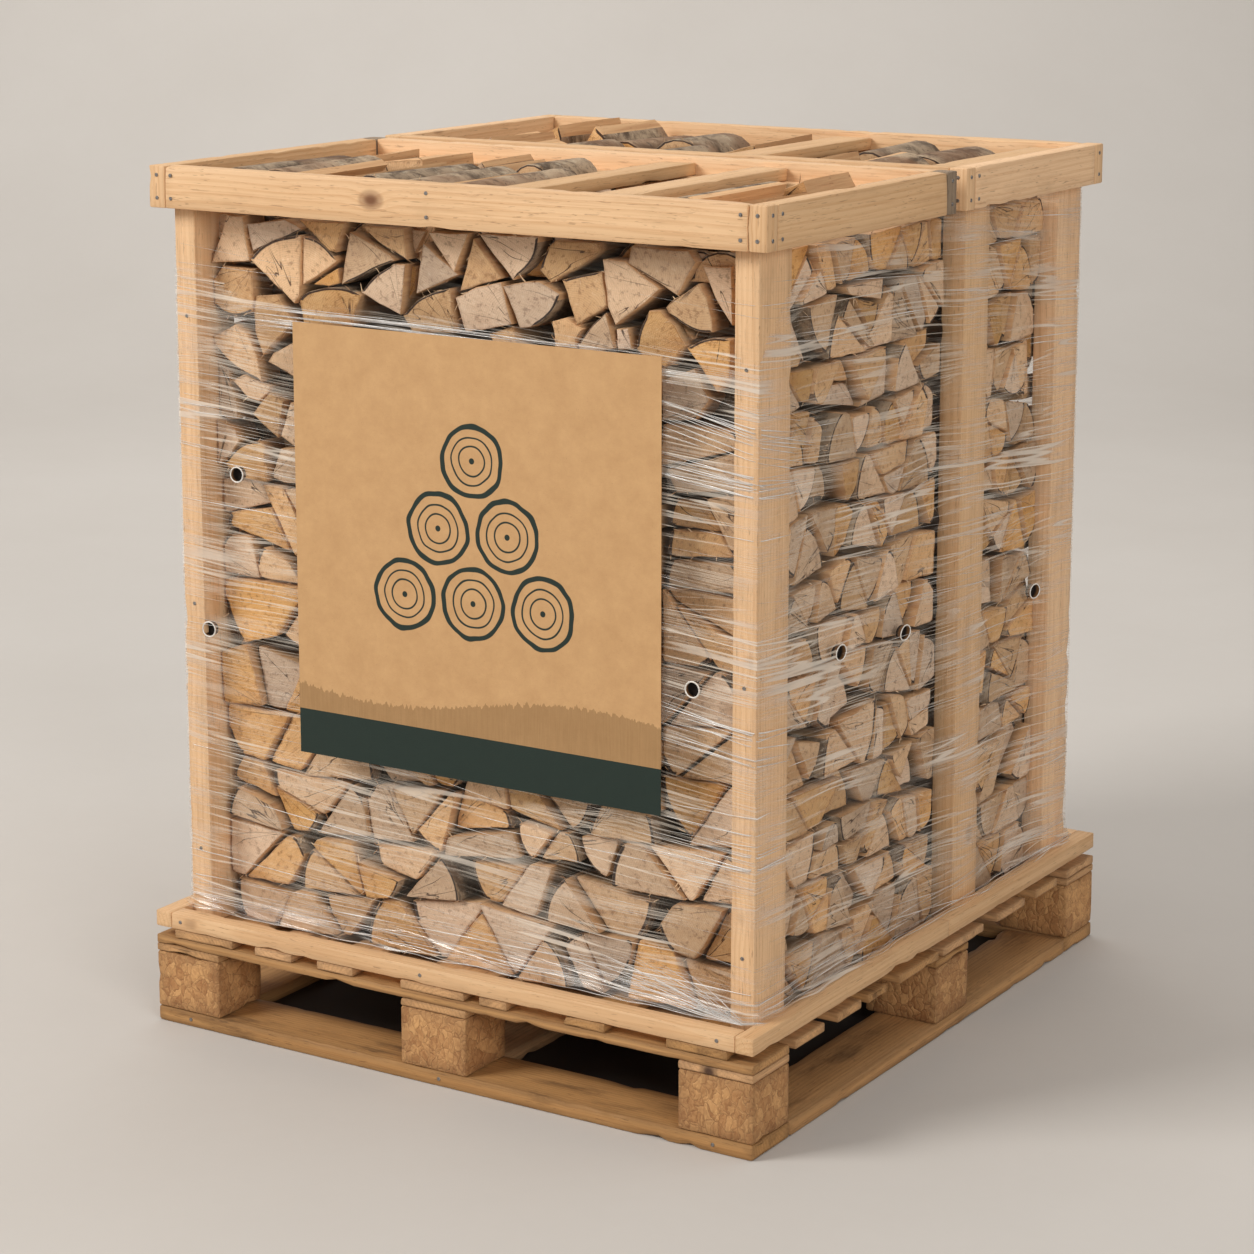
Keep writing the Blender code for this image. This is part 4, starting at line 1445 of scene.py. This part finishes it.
def film_finish():
    """Make the finish of clear stretch film with streaks of painted highlight."""
    material, tree, shader = new_finish("Clear_stretch_film", 0.16)
    place = read(tree, "wrap")
    along, height, clear = parts_of(tree, place)
    wobble = cloud(tree, scaled(tree, place, (1.6, 3.0, 0.0)), 1.0, 2.0)
    level = plus(tree, height, times(tree, along, SPIRAL_DROP))
    level = plus(tree, level, times(tree, wobble, 0.045))
    second_level = minus(tree, height, times(tree, along, SPIRAL_DROP * 0.8))
    second_level = plus(tree, second_level, times(tree, wobble, 0.030))

    def streak_highlights(run, rise, across, thin, seed):
        """Return thin lines, long along the spiral, where a stretched noise passes its middle value."""
        line_place = joined(tree, times(tree, along, run), times(tree, across, rise), seed)
        value = cloud(tree, line_place, 1.0, 2.0, 0.5)
        away = maths(tree, "ABSOLUTE", minus(tree, value, 0.5))
        return step_between(tree, away, thin, thin * 0.3), value

    def patches(run, rise, low, high):
        """Return wide patches where the painted highlights are stronger."""
        return step_between(tree, cloud(tree, scaled(tree, place, (run, rise, 0.0)), 1.0, 2.0), low, high)

    broad_value = cloud(tree, joined(tree, along, times(tree, level, 22.0)), 1.0, 3.0)
    bold, bold_value = streak_highlights(1.0, 30.0, level, 0.020, 11.0)
    fine, fine_value = streak_highlights(1.5, 80.0, level, 0.034, 19.0)
    hair = streak_highlights(2.0, 190.0, level, 0.060, 23.0)[0]
    crossing = streak_highlights(1.3, 60.0, second_level, 0.020, 27.0)[0]
    haze = times(tree, step_between(tree, broad_value, 0.45, 0.75), 0.09)
    haze = plus(tree, haze, 0.012)
    # Clearness below 0 thickens the haze: the painted highlight at the back right corner.
    haze = times(tree, haze, minus(tree, 1.0, times(tree, clear, 0.95)))
    # The streak lines are painted highlights along the creases.
    lines = times(tree, bold, times(tree, patches(3.0, 7.0, 0.42, 0.64), 0.70))
    others = (
        (fine, patches(4.6, 9.0, 0.40, 0.66), 0.50),
        (hair, patches(6.0, 14.0, 0.42, 0.66), 0.34),
        (crossing, patches(5.2, 8.0, 0.50, 0.70), 0.50),
    )
    for highlight_streak, patch, share in others:
        lines = maths(tree, "MAXIMUM", lines, times(tree, highlight_streak, times(tree, patch, share)))
    bare = times(tree, step_between(tree, clear, 0.80, 0.95), 0.92)
    lines = times(tree, lines, minus(tree, 1.0, bare))
    density = plus(tree, haze, lines, clamp=True)
    # The film's pale colour shows most on the dense streaks, as painted highlight.
    shader.inputs["Base Color"].default_value = linear(240, 227, 210)
    shader.inputs["Specular IOR Level"].default_value = 1.0
    tree.links.new(density, shader.inputs["Alpha"])
    ridges = plus(tree, bold_value, times(tree, fine_value, 0.5))
    ridges = plus(tree, ridges, times(tree, broad_value, 0.7))
    raise_surface(tree, shader, ridges, 0.003, 0.7)
    return material


clear_film = film_finish()

# %% [markdown]
# The film's mesh is a tube that runs round the four corner posts. Between the posts it is drawn in a little
# towards the logs, and at the bottom it flares out over the base rails. Round each air hole a patch of the
# grid is taken out and joined to a circle of points, and a thin rolled rim goes round the circle.

# %% Film
film_low, film_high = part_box("Stretch_film")
FILM_SIDE = film_high.x - 0.0008
FILM_FRONT = film_low.y + 0.0006
FILM_BACK = film_high.y - 0.0006
FILM_BOTTOM = film_low.z + 0.0006
FILM_TOP = film_high.z
FILM_STEP = 0.011
FLARE_HEIGHT = 0.035
FLARE_REACH = 0.020
SAG_DEPTH = 0.007
HOLE_RADIUS = 0.0105
HOLE_CELLS = 2


def film_path():
    """Return the film's corners in turn, with the length of film up to each."""
    corners = [
        Vector((-FILM_SIDE, FILM_FRONT, 0.0)),
        Vector((FILM_SIDE, FILM_FRONT, 0.0)),
        Vector((FILM_SIDE, FILM_BACK, 0.0)),
        Vector((-FILM_SIDE, FILM_BACK, 0.0)),
    ]
    lengths = [0.0]
    for index in range(4):
        lengths.append(lengths[-1] + (corners[(index + 1) % 4] - corners[index]).length)
    return corners, lengths


film_corners, film_lengths = film_path()
FILM_ROUND = film_lengths[-1]
# Where the posts hold the film out: along Y on the sides (1), and along X on the front and back (0).
SUPPORTS = {
    1: [(-0.485, -0.401), (0.095, 0.173), (0.403, 0.483)],
    0: [(-0.472, -0.436), (0.436, 0.472)],
}


def drawn_in(axis, value):
    """Share of the full sag at a place along one side: none on a post, most midway between posts."""
    posts = SUPPORTS[axis]
    for low, high in posts:
        if low - 0.004 <= value <= high + 0.004:
            return 0.0
    for before, after in zip(posts, posts[1:]):
        if before[1] < value < after[0]:
            share = (value - before[1]) / (after[0] - before[1])
            return math.sin(math.pi * share) ** 0.6
    return 0.0


def film_point(length, height):
    """Return a point of the film, and its outward direction, from its place along and up the film."""
    length = length % FILM_ROUND
    side = max(index for index in range(4) if film_lengths[index] <= length)
    share = (length - film_lengths[side]) / (film_lengths[side + 1] - film_lengths[side])
    point = film_corners[side].lerp(film_corners[(side + 1) % 4], share)
    outward = (Vector((0, -1, 0)), Vector((1, 0, 0)), Vector((0, 1, 0)), Vector((-1, 0, 0)))[side]
    axis = 0 if side in (0, 2) else 1
    sag = drawn_in(axis, point[axis]) * SAG_DEPTH
    sag += drawn_in(axis, point[axis]) * 0.0035 * abs(noise.noise(Vector((length * 3.0, height * 26.0, 4.0))))
    flare = max(0.0, 1.0 - (height - FILM_BOTTOM) / FLARE_HEIGHT) ** 1.6
    ruffle = 0.75 + 0.45 * noise.noise(Vector((length * 18.0, height * 20.0, 9.0)))
    push = -sag * (1.0 - flare) + flare * FLARE_REACH * min(1.0, ruffle)
    point = point + outward * push
    point.z = height
    return point, outward


FRONT_CLEAR = 0.35
LEFT_END_CLEAR = 0.80
LEFT_END = 0.060
# Clearness at the back right corner, below 0: a painted highlight that makes the film white there.
CORNER_HIGHLIGHT = -5.0
SOFT_EDGE = 0.006
CLEAR_LINE = ((0.0, 1.105), (0.055, 1.092), (0.10, 1.062), (0.30, 1.056), (0.60, 1.053), (0.86, 1.048),
              (0.945, 1.036), (1.00, 1.10), (1.08, 1.16), (1.12, 1.25), (FILM_ROUND, 1.25))


def clear_share(length, height):
    """How clear the film is: 1 above the clear line, and below it 0 on most sides, more on the front
    and most at the front's left end. It is below 0 along the back right corner, where the film is painted
    white as a painted highlight along the load's right outline."""
    if abs(length - film_lengths[2]) < SOFT_EDGE:
        return CORNER_HIGHLIGHT
    length = length % FILM_ROUND
    line = 1.3
    for before, after in zip(CLEAR_LINE, CLEAR_LINE[1:]):
        if before[0] <= length <= after[0]:
            line = before[1] + (after[1] - before[1]) * (length - before[0]) / (after[0] - before[0])
            break
    lowest = 0.0
    if length < film_lengths[1]:
        lowest = LEFT_END_CLEAR if length < LEFT_END else FRONT_CLEAR
    return min(1.0, max(lowest, (height - line) / SOFT_EDGE))


HOLES = [
    ("front", 0.375, 0.604), ("front", -0.424, 0.583), ("front", -0.373, 0.810),
    ("right", -0.247, 0.613), ("right", -0.053, 0.609), ("right", 0.360, 0.589),
    ("left", -0.200, 0.640), ("left", 0.260, 0.560), ("back", -0.240, 0.600), ("back", 0.210, 0.620),
]


def hole_length(side, across):
    """Return how far along the film a hole is."""
    if side == "front":
        return across + FILM_SIDE
    if side == "right":
        return film_lengths[1] + across - FILM_FRONT
    if side == "back":
        return film_lengths[2] + FILM_SIDE - across
    return film_lengths[3] + FILM_BACK - across


def build_film():
    """Make the film's mesh and the rims of its holes."""
    columns = round(FILM_ROUND / FILM_STEP)
    rows = round((FILM_TOP - FILM_BOTTOM) / FILM_STEP)
    verts = []
    wrap = []

    def put(length, height):
        """Add one point of the film."""
        verts.append(film_point(length, height)[0])
        wrap.append((length, height, clear_share(length, height)))
        return len(verts) - 1

    grid = []
    for row in range(rows + 1):
        share = row / rows
        height = FILM_BOTTOM + (FILM_TOP - FILM_BOTTOM) * share
        grid.append([put(FILM_ROUND * column / columns, height) for column in range(columns + 1)])
    skipped = set()
    rims = []
    faces = []
    for side, across, height in HOLES:
        wide = 1.35 if side == "right" else 1.0
        middle_column = round(hole_length(side, across) / FILM_ROUND * columns)
        middle_row = round((height - FILM_BOTTOM) / (FILM_TOP - FILM_BOTTOM) * rows)
        span = HOLE_CELLS
        for row in range(middle_row - span, middle_row + span):
            for column in range(middle_column - span, middle_column + span):
                skipped.add((row, column))
        loop = []
        for down, right in ((-1, -1), (-1, 1), (1, 1), (1, -1)):
            for step in range(2 * span):
                row = middle_row + span * down + (-down * step if down != right else 0)
                column = middle_column + span * right - (right * step if down == right else 0)
                loop.append((row, column))
        centre_length = FILM_ROUND * middle_column / columns
        centre_height = FILM_BOTTOM + (FILM_TOP - FILM_BOTTOM) * middle_row / rows
        outer = [grid[row][column] for row, column in loop]
        middle_ring = []
        inner_ring = []
        for row, column in loop:
            angle = math.atan2(row - middle_row, column - middle_column)
            for ring, reach in ((middle_ring, HOLE_RADIUS * 1.25), (inner_ring, HOLE_RADIUS)):
                sideways = math.cos(angle) * reach * wide
                ring.append(put(centre_length + sideways, centre_height + math.sin(angle) * reach))
        count = len(loop)
        for outside, inside in ((outer, middle_ring), (middle_ring, inner_ring)):
            for index in range(count):
                after = (index + 1) % count
                faces.append((outside[index], outside[after], inside[after], inside[index]))
        rims.append((centre_length, centre_height, wide))
    for row in range(rows):
        for column in range(columns):
            if (row, column) not in skipped:
                faces.append((grid[row][column], grid[row][column + 1], grid[row + 1][column + 1],
                              grid[row + 1][column]))
    film = finish_mesh("Film_wrap", verts, faces, {"wrap": wrap}, [clear_film], None, 60.0)
    return film, rims


film, hole_rims = build_film()
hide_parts("Stretch_film")
print("film:", len(film.data.polygons), "faces,", len(hole_rims), "holes, round", round(FILM_ROUND, 1), "m")


# %% [markdown]
# The rims of the air holes and the tight strands. Where film bunches into a cord it turns white and shiny,
# and the white that comes and goes along each strand is also painted highlight.
# Strands lie along the spiral, close to the film: at the edge of the hazy film on the front, beside the
# sign, round the bottom, and here and there between. Each is a thin flat tube. Behind each hole a short
# closed bore is painted from wood brown to near black inward: painted shade for the dark inside the stack.

# %% Strands and rims


def strand_finish():
    """Make the finish of bunched film: white and shiny, with clear stretches; the white is partly painted
    highlight.
    """
    material, tree, shader = new_finish("Bunched_film", 0.18)
    place = read(tree, "wrap")
    flicker = cloud(tree, scaled(tree, place, (22.0, 3.0, 1.0)), 1.0, 3.0)
    # Where the noise is high the strand is white and dense: the cord's own white and painted highlight.
    shine = step_between(tree, flicker, 0.38, 0.62)
    colour = blend_colour(tree, shine, linear(214, 206, 196), linear(252, 250, 247))
    tree.links.new(colour, shader.inputs["Base Color"])
    density = plus(tree, 0.08, times(tree, shine, 0.72))
    tree.links.new(density, shader.inputs["Alpha"])
    shader.inputs["Specular IOR Level"].default_value = 0.9
    raise_surface(tree, shader, flicker, 0.002, 0.6)
    return material


def rim_finish():
    """Make the finish of the air holes' rolled rims: milky and shiny."""
    material, tree, shader = new_finish("Rolled_film", 0.25)
    cloudy = cloud(tree, scaled(tree, read(tree, "wrap"), (30.0, 4.0, 1.0)), 1.0, 3.0)
    colour = blend_colour(tree, cloudy, linear(214, 206, 194), linear(250, 246, 240))
    tree.links.new(colour, shader.inputs["Base Color"])
    raise_surface(tree, shader, cloudy, 0.0008, 0.5)
    return material


BORE_DEPTH = 0.0085
RIM_RADIUS = HOLE_RADIUS + 0.0002
RIM_THICKNESS = 0.0011


def bore_finish():
    """Make the finish inside the air holes: painted shade, wood brown at the mouth and near black at the
    closed bottom.
    """
    material, tree, shader = new_finish("Air_hole_inside", 0.9)
    deep = read(tree, "deep", "Fac")
    place = add(tree, "TexCoord").outputs["Object"]
    chips = cloud(tree, place, 260.0, 3.0, 0.6)
    # Painted shade: the bore turns from wood brown to near black with depth.
    bore_shade = step_between(tree, deep, 0.15, 0.85)
    colour = blend_colour(tree, bore_shade, linear(150, 104, 58), linear(22, 15, 10))
    colour = blend_colour(tree, times(tree, chips, 0.4), colour, linear(40, 26, 16))
    tree.links.new(colour, shader.inputs["Base Color"])
    raise_surface(tree, shader, chips, 0.0008, 0.6)
    return material


TUBE_SIDES = 4
RIM_STEPS = 28


class TubeBundle:
    """Collects thin tubes for one mesh."""

    def __init__(self):
        self.verts = []
        self.faces = []
        self.wrap = []

    def add_tube(self, path, outwards, radii, flatness, closed=False, start=0.0):
        """Add a tube along a path; it is flattened towards the film."""
        count = len(path)
        sides = TUBE_SIDES
        first = len(self.verts)
        for index, point in enumerate(path):
            before = path[index - 1] if index > 0 or closed else point
            after = path[(index + 1) % count] if index < count - 1 or closed else point
            along = (after - before).normalized()
            outward = outwards[index]
            sideways = along.cross(outward).normalized()
            for side in range(sides):
                angle = math.tau * side / sides
                offset = sideways * math.cos(angle) * radii[index]
                offset += outward * math.sin(angle) * radii[index] * flatness
                self.verts.append(point + offset)
                self.wrap.append((start + index * 0.012, side / sides, start))
        spans = count if closed else count - 1
        for index in range(spans):
            there = first + ((index + 1) % count) * sides
            join_rings(self.faces, first + index * sides, there, sides)

    def make(self, name, finish):
        """Make the mesh object."""
        return finish_mesh(name, self.verts, self.faces, {"wrap": self.wrap}, [finish], None, 80.0)


def add_strand(bundle, start, end, height, drop, radius, chance, lift=0.0010):
    """Lay one strand along the film from start to end, dropping by drop per metre."""
    path = []
    outwards = []
    radii = []
    steps = max(4, round((end - start) / 0.020))
    waver = chance.uniform(0.0, 80.0)
    for step in range(steps + 1):
        length = start + (end - start) * step / steps
        level = height - drop * (length - start)
        level += 0.0016 * noise.noise(Vector((length * 2.2, waver, 0.0)))
        level = max(FILM_BOTTOM + 0.001, min(FILM_TOP - 0.002, level))
        point, outward = film_point(length, level)
        path.append(point + outward * lift)
        outwards.append(outward)
        fade = min(1.0, 6.0 * step / steps, 6.0 * (1.0 - step / steps))
        swell = 0.65 + 0.5 * noise.noise(Vector((length * 9.0, waver, 3.0)))
        radii.append(max(0.00008, radius * fade * swell))
    bundle.add_tube(path, outwards, radii, 0.35, False, chance.uniform(0.0, 40.0))


STRAY_STRANDS = 430
SAG_LINE_STRANDS = 24
FOOT_STRANDS = 64
CORNER_STRANDS = 26
SIGN_STRANDS = 15
# Bundles that start behind the sign's right edge: height, spread and drop per metre.
BESIDE_SIGN = ((0.975, 0.024, 0.20), (0.900, 0.014, 0.10), (0.560, 0.02, 0.12), (0.395, 0.02, 0.03))


def build_strands():
    """Lay all strands of bunched film."""
    chance = random.Random(31)
    bundle = TubeBundle()
    for number in range(STRAY_STRANDS):
        start = chance.uniform(0.0, FILM_ROUND)
        run = chance.uniform(0.06, 0.42)
        height = chance.uniform(0.20, 1.16)
        if start + run < 1.02 and height > 1.02:
            height -= 0.35
        drop = chance.gauss(SPIRAL_DROP, 0.028)
        radius = chance.choice((0.00028, 0.00036, 0.00050, 0.00085))
        add_strand(bundle, start, start + run, height, drop, radius, chance)
    for number in range(SAG_LINE_STRANDS):
        share = number / (SAG_LINE_STRANDS - 1)
        height = 1.060 - 0.030 * share + chance.uniform(-0.003, 0.003)
        start = 0.06 + chance.uniform(0.0, 0.12)
        end = 0.90 + chance.uniform(-0.35, 0.04)
        add_strand(bundle, start, end, height, 0.022, chance.uniform(0.0005, 0.0014), chance, 0.0022)
    for number in range(FOOT_STRANDS):
        start = chance.uniform(0.0, FILM_ROUND)
        height = FILM_BOTTOM + 0.003 + abs(chance.gauss(0.0, 0.022))
        add_strand(bundle, start, start + chance.uniform(0.4, 1.2), height, chance.gauss(0.0, 0.010),
                   chance.uniform(0.0004, 0.0013), chance)
    for centre, spread, drop in BESIDE_SIGN:
        for number in range(SIGN_STRANDS):
            start = chance.uniform(0.74, 0.86)
            add_strand(bundle, start, start + chance.uniform(0.10, 0.30), chance.gauss(centre, spread),
                       chance.gauss(drop, 0.03), chance.uniform(0.0006, 0.0015), chance, 0.0018)
    for number in range(CORNER_STRANDS):
        start = chance.uniform(0.55, 0.85)
        height = FILM_BOTTOM + chance.uniform(0.004, 0.060)
        drop = (height - FILM_BOTTOM) / (film_lengths[1] - start)
        radius = chance.uniform(0.0004, 0.0012)
        add_strand(bundle, start, film_lengths[1] + 0.01, height, drop, radius, chance)
    strands = bundle.make("Film_strands", strand_finish())
    return strands


def build_rims():
    """Make the rolled rims of the air holes and the bores behind them."""
    bundle = TubeBundle()
    verts = []
    faces = []
    deep = []
    for number, (centre_length, centre_height, wide) in enumerate(hole_rims):
        path = []
        outwards = []
        for step in range(RIM_STEPS):
            angle = math.tau * step / RIM_STEPS
            length = centre_length + math.cos(angle) * RIM_RADIUS * wide
            point, outward = film_point(length, centre_height + math.sin(angle) * RIM_RADIUS)
            path.append(point)
            outwards.append(outward)
        bundle.add_tube(path, outwards, [RIM_THICKNESS] * RIM_STEPS, 0.9, True, number * 3.0)
        middle = sum(path, Vector()) / RIM_STEPS
        first = len(verts)
        rings = ((0.97, 0.0), (0.95, BORE_DEPTH * 0.5), (0.93, BORE_DEPTH), (0.4, BORE_DEPTH))
        for share, depth in rings:
            for point, outward in zip(path, outwards):
                verts.append(middle + (point - middle) * share - outward * depth)
                deep.append(depth / BORE_DEPTH)
        for ring in range(len(rings) - 1):
            here = first + ring * RIM_STEPS
            there = here + RIM_STEPS
            join_rings(faces, here, there, RIM_STEPS)
        faces.append(tuple(there + step for step in range(RIM_STEPS)))
    rims = bundle.make("Air_hole_rims", rim_finish())
    bores = finish_mesh("Air_hole_bores", verts, faces, {"deep": deep}, [bore_finish()])
    return rims


strands = build_strands()
rims = build_rims()
print("strands:", len(strands.data.polygons), "faces; rims:", len(rims.data.polygons), "faces")

# %% [markdown]
# The sign is a kraft paper card on the front. The print is plain: a dark green band along the bottom, a
# meadow in thin brown ink over it, and a drawing of six piled log ends in the middle. The print is made from
# distances in the card's own plane, so its edges stay sharp. The card bows a little.

# %% Sign
sign_low, sign_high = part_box("Sign")
PRINT_SPACING = 0.113
PRINT_MIDDLE = 0.2975
PRINT_BAND = 0.0640


def print_log_ends(tree, across, upward):
    """Return 1 on the printed lines of six log ends piled three, two and one high, and 0 elsewhere."""
    ink = 0.0
    bend = cloud(tree, joined(tree, across, upward), 26.0, 1.0)
    wobble = plus(tree, 0.90, times(tree, bend, 0.20))
    rows = ((0.250, (-1.0, 0.0, 1.0)), (0.348, (-0.5, 0.5)), (0.446, (0.0,)))
    for height, places in rows:
        for place in places:
            sideways = minus(tree, across, PRINT_MIDDLE + place * PRINT_SPACING)
            rise = minus(tree, upward, height)
            distance = times(tree, hypotenuse(tree, sideways, rise), wobble)
            for radius, width in ((0.0480, 0.0034), (0.0330, 0.0013), (0.0205, 0.0013), (0.0, 0.0042)):
                gap = maths(tree, "ABSOLUTE", minus(tree, distance, radius))
                line = step_between(tree, gap, width + 0.0004, width - 0.0004)
                ink = line if ink == 0.0 else maths(tree, "MAXIMUM", ink, line)
    return ink


def card_finish():
    """Make the finish of the printed kraft card."""
    material, tree, shader = new_finish("Kraft_card", 0.72)
    place = read(tree, "card")
    across, upward = parts_of(tree, place)[:2]
    fibres = cloud(tree, scaled(tree, place, (240.0, 900.0, 1.0)), 1.0, 3.0, 0.6)
    pulp = cloud(tree, place, 24.0, 6.0, 0.75)
    specks = cloud(tree, place, 420.0, 2.0)
    colour = blend_colour(tree, pulp, linear(178, 134, 87), linear(214, 171, 120))
    colour = spotted(tree, colour, fibres, 0.55, 0.75, 0.20, (176, 130, 82))
    colour = spotted(tree, colour, specks, 0.66, 0.74, 0.35, (150, 108, 66))
    green = blend_colour(tree, pulp, linear(13, 32, 24), linear(19, 40, 31))
    blades = cloud(tree, joined(tree, times(tree, across, 150.0)), 1.0, 2.0)
    hill = maths(tree, "SINE", plus(tree, times(tree, across, 9.0), 3.5))
    ridge = plus(tree, 0.094, times(tree, hill, 0.020))
    ridge = plus(tree, ridge, times(tree, blades, 0.030))
    meadow = maths(tree, "LESS_THAN", upward, ridge)
    stalk_place = joined(tree, times(tree, across, 420.0), times(tree, upward, 18.0))
    stalks = cloud(tree, stalk_place, 1.0, 2.0)
    ink = times(tree, meadow, plus(tree, 0.42, times(tree, stalks, 0.35)))
    colour = blend_colour(tree, ink, colour, linear(134, 100, 58))
    colour = blend_colour(tree, print_log_ends(tree, across, upward), colour, green)
    colour = blend_colour(tree, maths(tree, "LESS_THAN", upward, PRINT_BAND), colour, green)
    tree.links.new(colour, shader.inputs["Base Color"])
    raise_surface(tree, shader, plus(tree, fibres, pulp), 0.0005, 0.35)
    return material


def build_sign():
    """Make the card as a thin bowed sheet with a cut edge."""
    columns, rows = 40, 42
    width = sign_high.x - sign_low.x
    height = sign_high.z - sign_low.z
    thickness = sign_high.y - sign_low.y
    verts = []
    card = []
    faces = []
    for layer in (0, 1):
        for row in range(rows + 1):
            for column in range(columns + 1):
                across = width * column / columns
                up = height * row / rows
                wave = noise.noise(Vector((across * 3.0, up * 2.4, 5.0))) * 0.0009
                depth = sign_low.y + 0.0002 + layer * (thickness - 0.0004) + abs(wave) * 0.5
                verts.append((sign_low.x + across, depth, sign_low.z + up))
                card.append((across, up, layer * 0.4))
    stride = columns + 1
    plane = stride * (rows + 1)
    for row in range(rows):
        for column in range(columns):
            base = row * stride + column
            faces.append((base, base + 1, base + stride + 1, base + stride))
            back = base + plane
            faces.append((back + stride, back + stride + 1, back + 1, back))
    rim = list(range(columns))
    rim += [columns + row * stride for row in range(rows)]
    rim += [rows * stride + columns - column for column in range(columns)]
    rim += [(rows - row) * stride for row in range(rows)]
    for index in range(len(rim)):
        here = rim[index]
        there = rim[(index + 1) % len(rim)]
        faces.append((there, here, here + plane, there + plane))
    sign = finish_mesh("Sign_card", verts, faces, {"card": card}, [card_finish()], None, 30.0)
    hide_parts("Sign")


build_sign()
print("sign:", round(sign_high.x - sign_low.x, 3), "by", round(sign_high.z - sign_low.z, 3), "m")

# %% [markdown]
# The floor and the light. The studio is one pale warm grey surface with no corner, so the floor is a wide
# sheet that curves up behind the load. Under the pallet the floor carries painted shade: it is painted dark,
# so that the gaps between the blocks look deep. A big soft lamp high on the left front lights both sides, a
# wide one above makes the top rails bright, one on the right and the world fill the shadows, and one lights
# the wall behind.

# %% Floor and light
SWEEP_START = 5.0
SWEEP_RADIUS = 3.0


def studio_floor():
    """Make the floor, which sweeps up into a wall far behind the load."""
    material, tree, shader = new_finish("Studio_paint", 0.85)
    place = add(tree, "TexCoord").outputs["Object"]
    mottle = cloud(tree, place, 1.3, 5.0, 0.6)
    grain = cloud(tree, place, 40.0, 3.0, 0.6)
    colour = blend_colour(tree, mottle, linear(190, 184, 177), linear(200, 195, 189))
    colour = blend_colour(tree, times(tree, grain, 0.10), colour, linear(180, 170, 160))
    # Painted shade: the floor is painted dark under the pallet.
    across, along = parts_of(tree, place)[:2]
    sideways = step_between(tree, maths(tree, "ABSOLUTE", across), 0.500, 0.440)
    lengthwise = step_between(tree, maths(tree, "ABSOLUTE", along), 0.535, 0.470)
    colour = blend_colour(tree, times(tree, sideways, lengthwise), colour, linear(44, 38, 33))
    tree.links.new(colour, shader.inputs["Base Color"])
    profile = [(-9.0, 0.0)]
    for step in range(13):
        angle = math.radians(90.0 * step / 12)
        forward = SWEEP_START + SWEEP_RADIUS * math.sin(angle)
        profile.append((forward, SWEEP_RADIUS * (1.0 - math.cos(angle))))
    profile.append((SWEEP_START + SWEEP_RADIUS, 9.0))
    turn = Matrix.Rotation(math.radians(CAMERA_TURN), 4, "Z")
    verts = []
    faces = []
    for along, height in profile:
        for side in (-12.0, 12.0):
            verts.append(turn @ Vector((side, along, height)))
    for index in range(len(profile) - 1):
        base = index * 2
        faces.append((base, base + 1, base + 3, base + 2))
    mesh = bpy.data.meshes.new("Studio_floor")
    mesh.from_pydata(verts, [], faces)
    mesh.shade_smooth()
    mesh.materials.append(material)
    floor = bpy.data.objects.new("Studio_floor", mesh)
    bpy.context.scene.collection.objects.link(floor)


def soft_lamp(name, place, target, size, power, colour):
    """Hang a square area lamp that points at a target."""
    data = bpy.data.lights.new(name, "AREA")
    data.shape = "RECTANGLE"
    data.size = size[0]
    data.size_y = size[1]
    data.energy = power
    data.color = colour
    lamp = bpy.data.objects.new(name, data)
    lamp.location = place
    direction = Vector(target) - Vector(place)
    lamp.rotation_euler = direction.to_track_quat("-Z", "Y").to_euler()
    bpy.context.scene.collection.objects.link(lamp)


studio_floor()
soft_lamp("Key", (-4.6, -5.6, 5.4), (0.0, 0.0, 0.5), (3.4, 3.4), 560.0, (1.0, 0.985, 0.96))
soft_lamp("Top", (0.4, 0.8, 7.0), (0.2, 0.2, 0.0), (6.0, 6.0), 235.0, (1.0, 0.99, 0.975))
soft_lamp("Fill", (6.6, -4.6, 3.4), (0.2, 0.0, 0.5), (4.0, 4.0), 265.0, (1.0, 0.98, 0.955))
soft_lamp("Backdrop", (-3.0, 2.6, 5.5), (-3.6, 7.0, 1.8), (4.0, 4.0), 160.0, (1.0, 0.985, 0.97))
world = bpy.data.worlds.new("World")
world.use_nodes = True
world.node_tree.nodes["Background"].inputs[0].default_value = (1.0, 0.985, 0.965, 1.0)
world.node_tree.nodes["Background"].inputs[1].default_value = 0.16
bpy.context.scene.world = world
bpy.context.scene.view_settings.view_transform = "Standard"
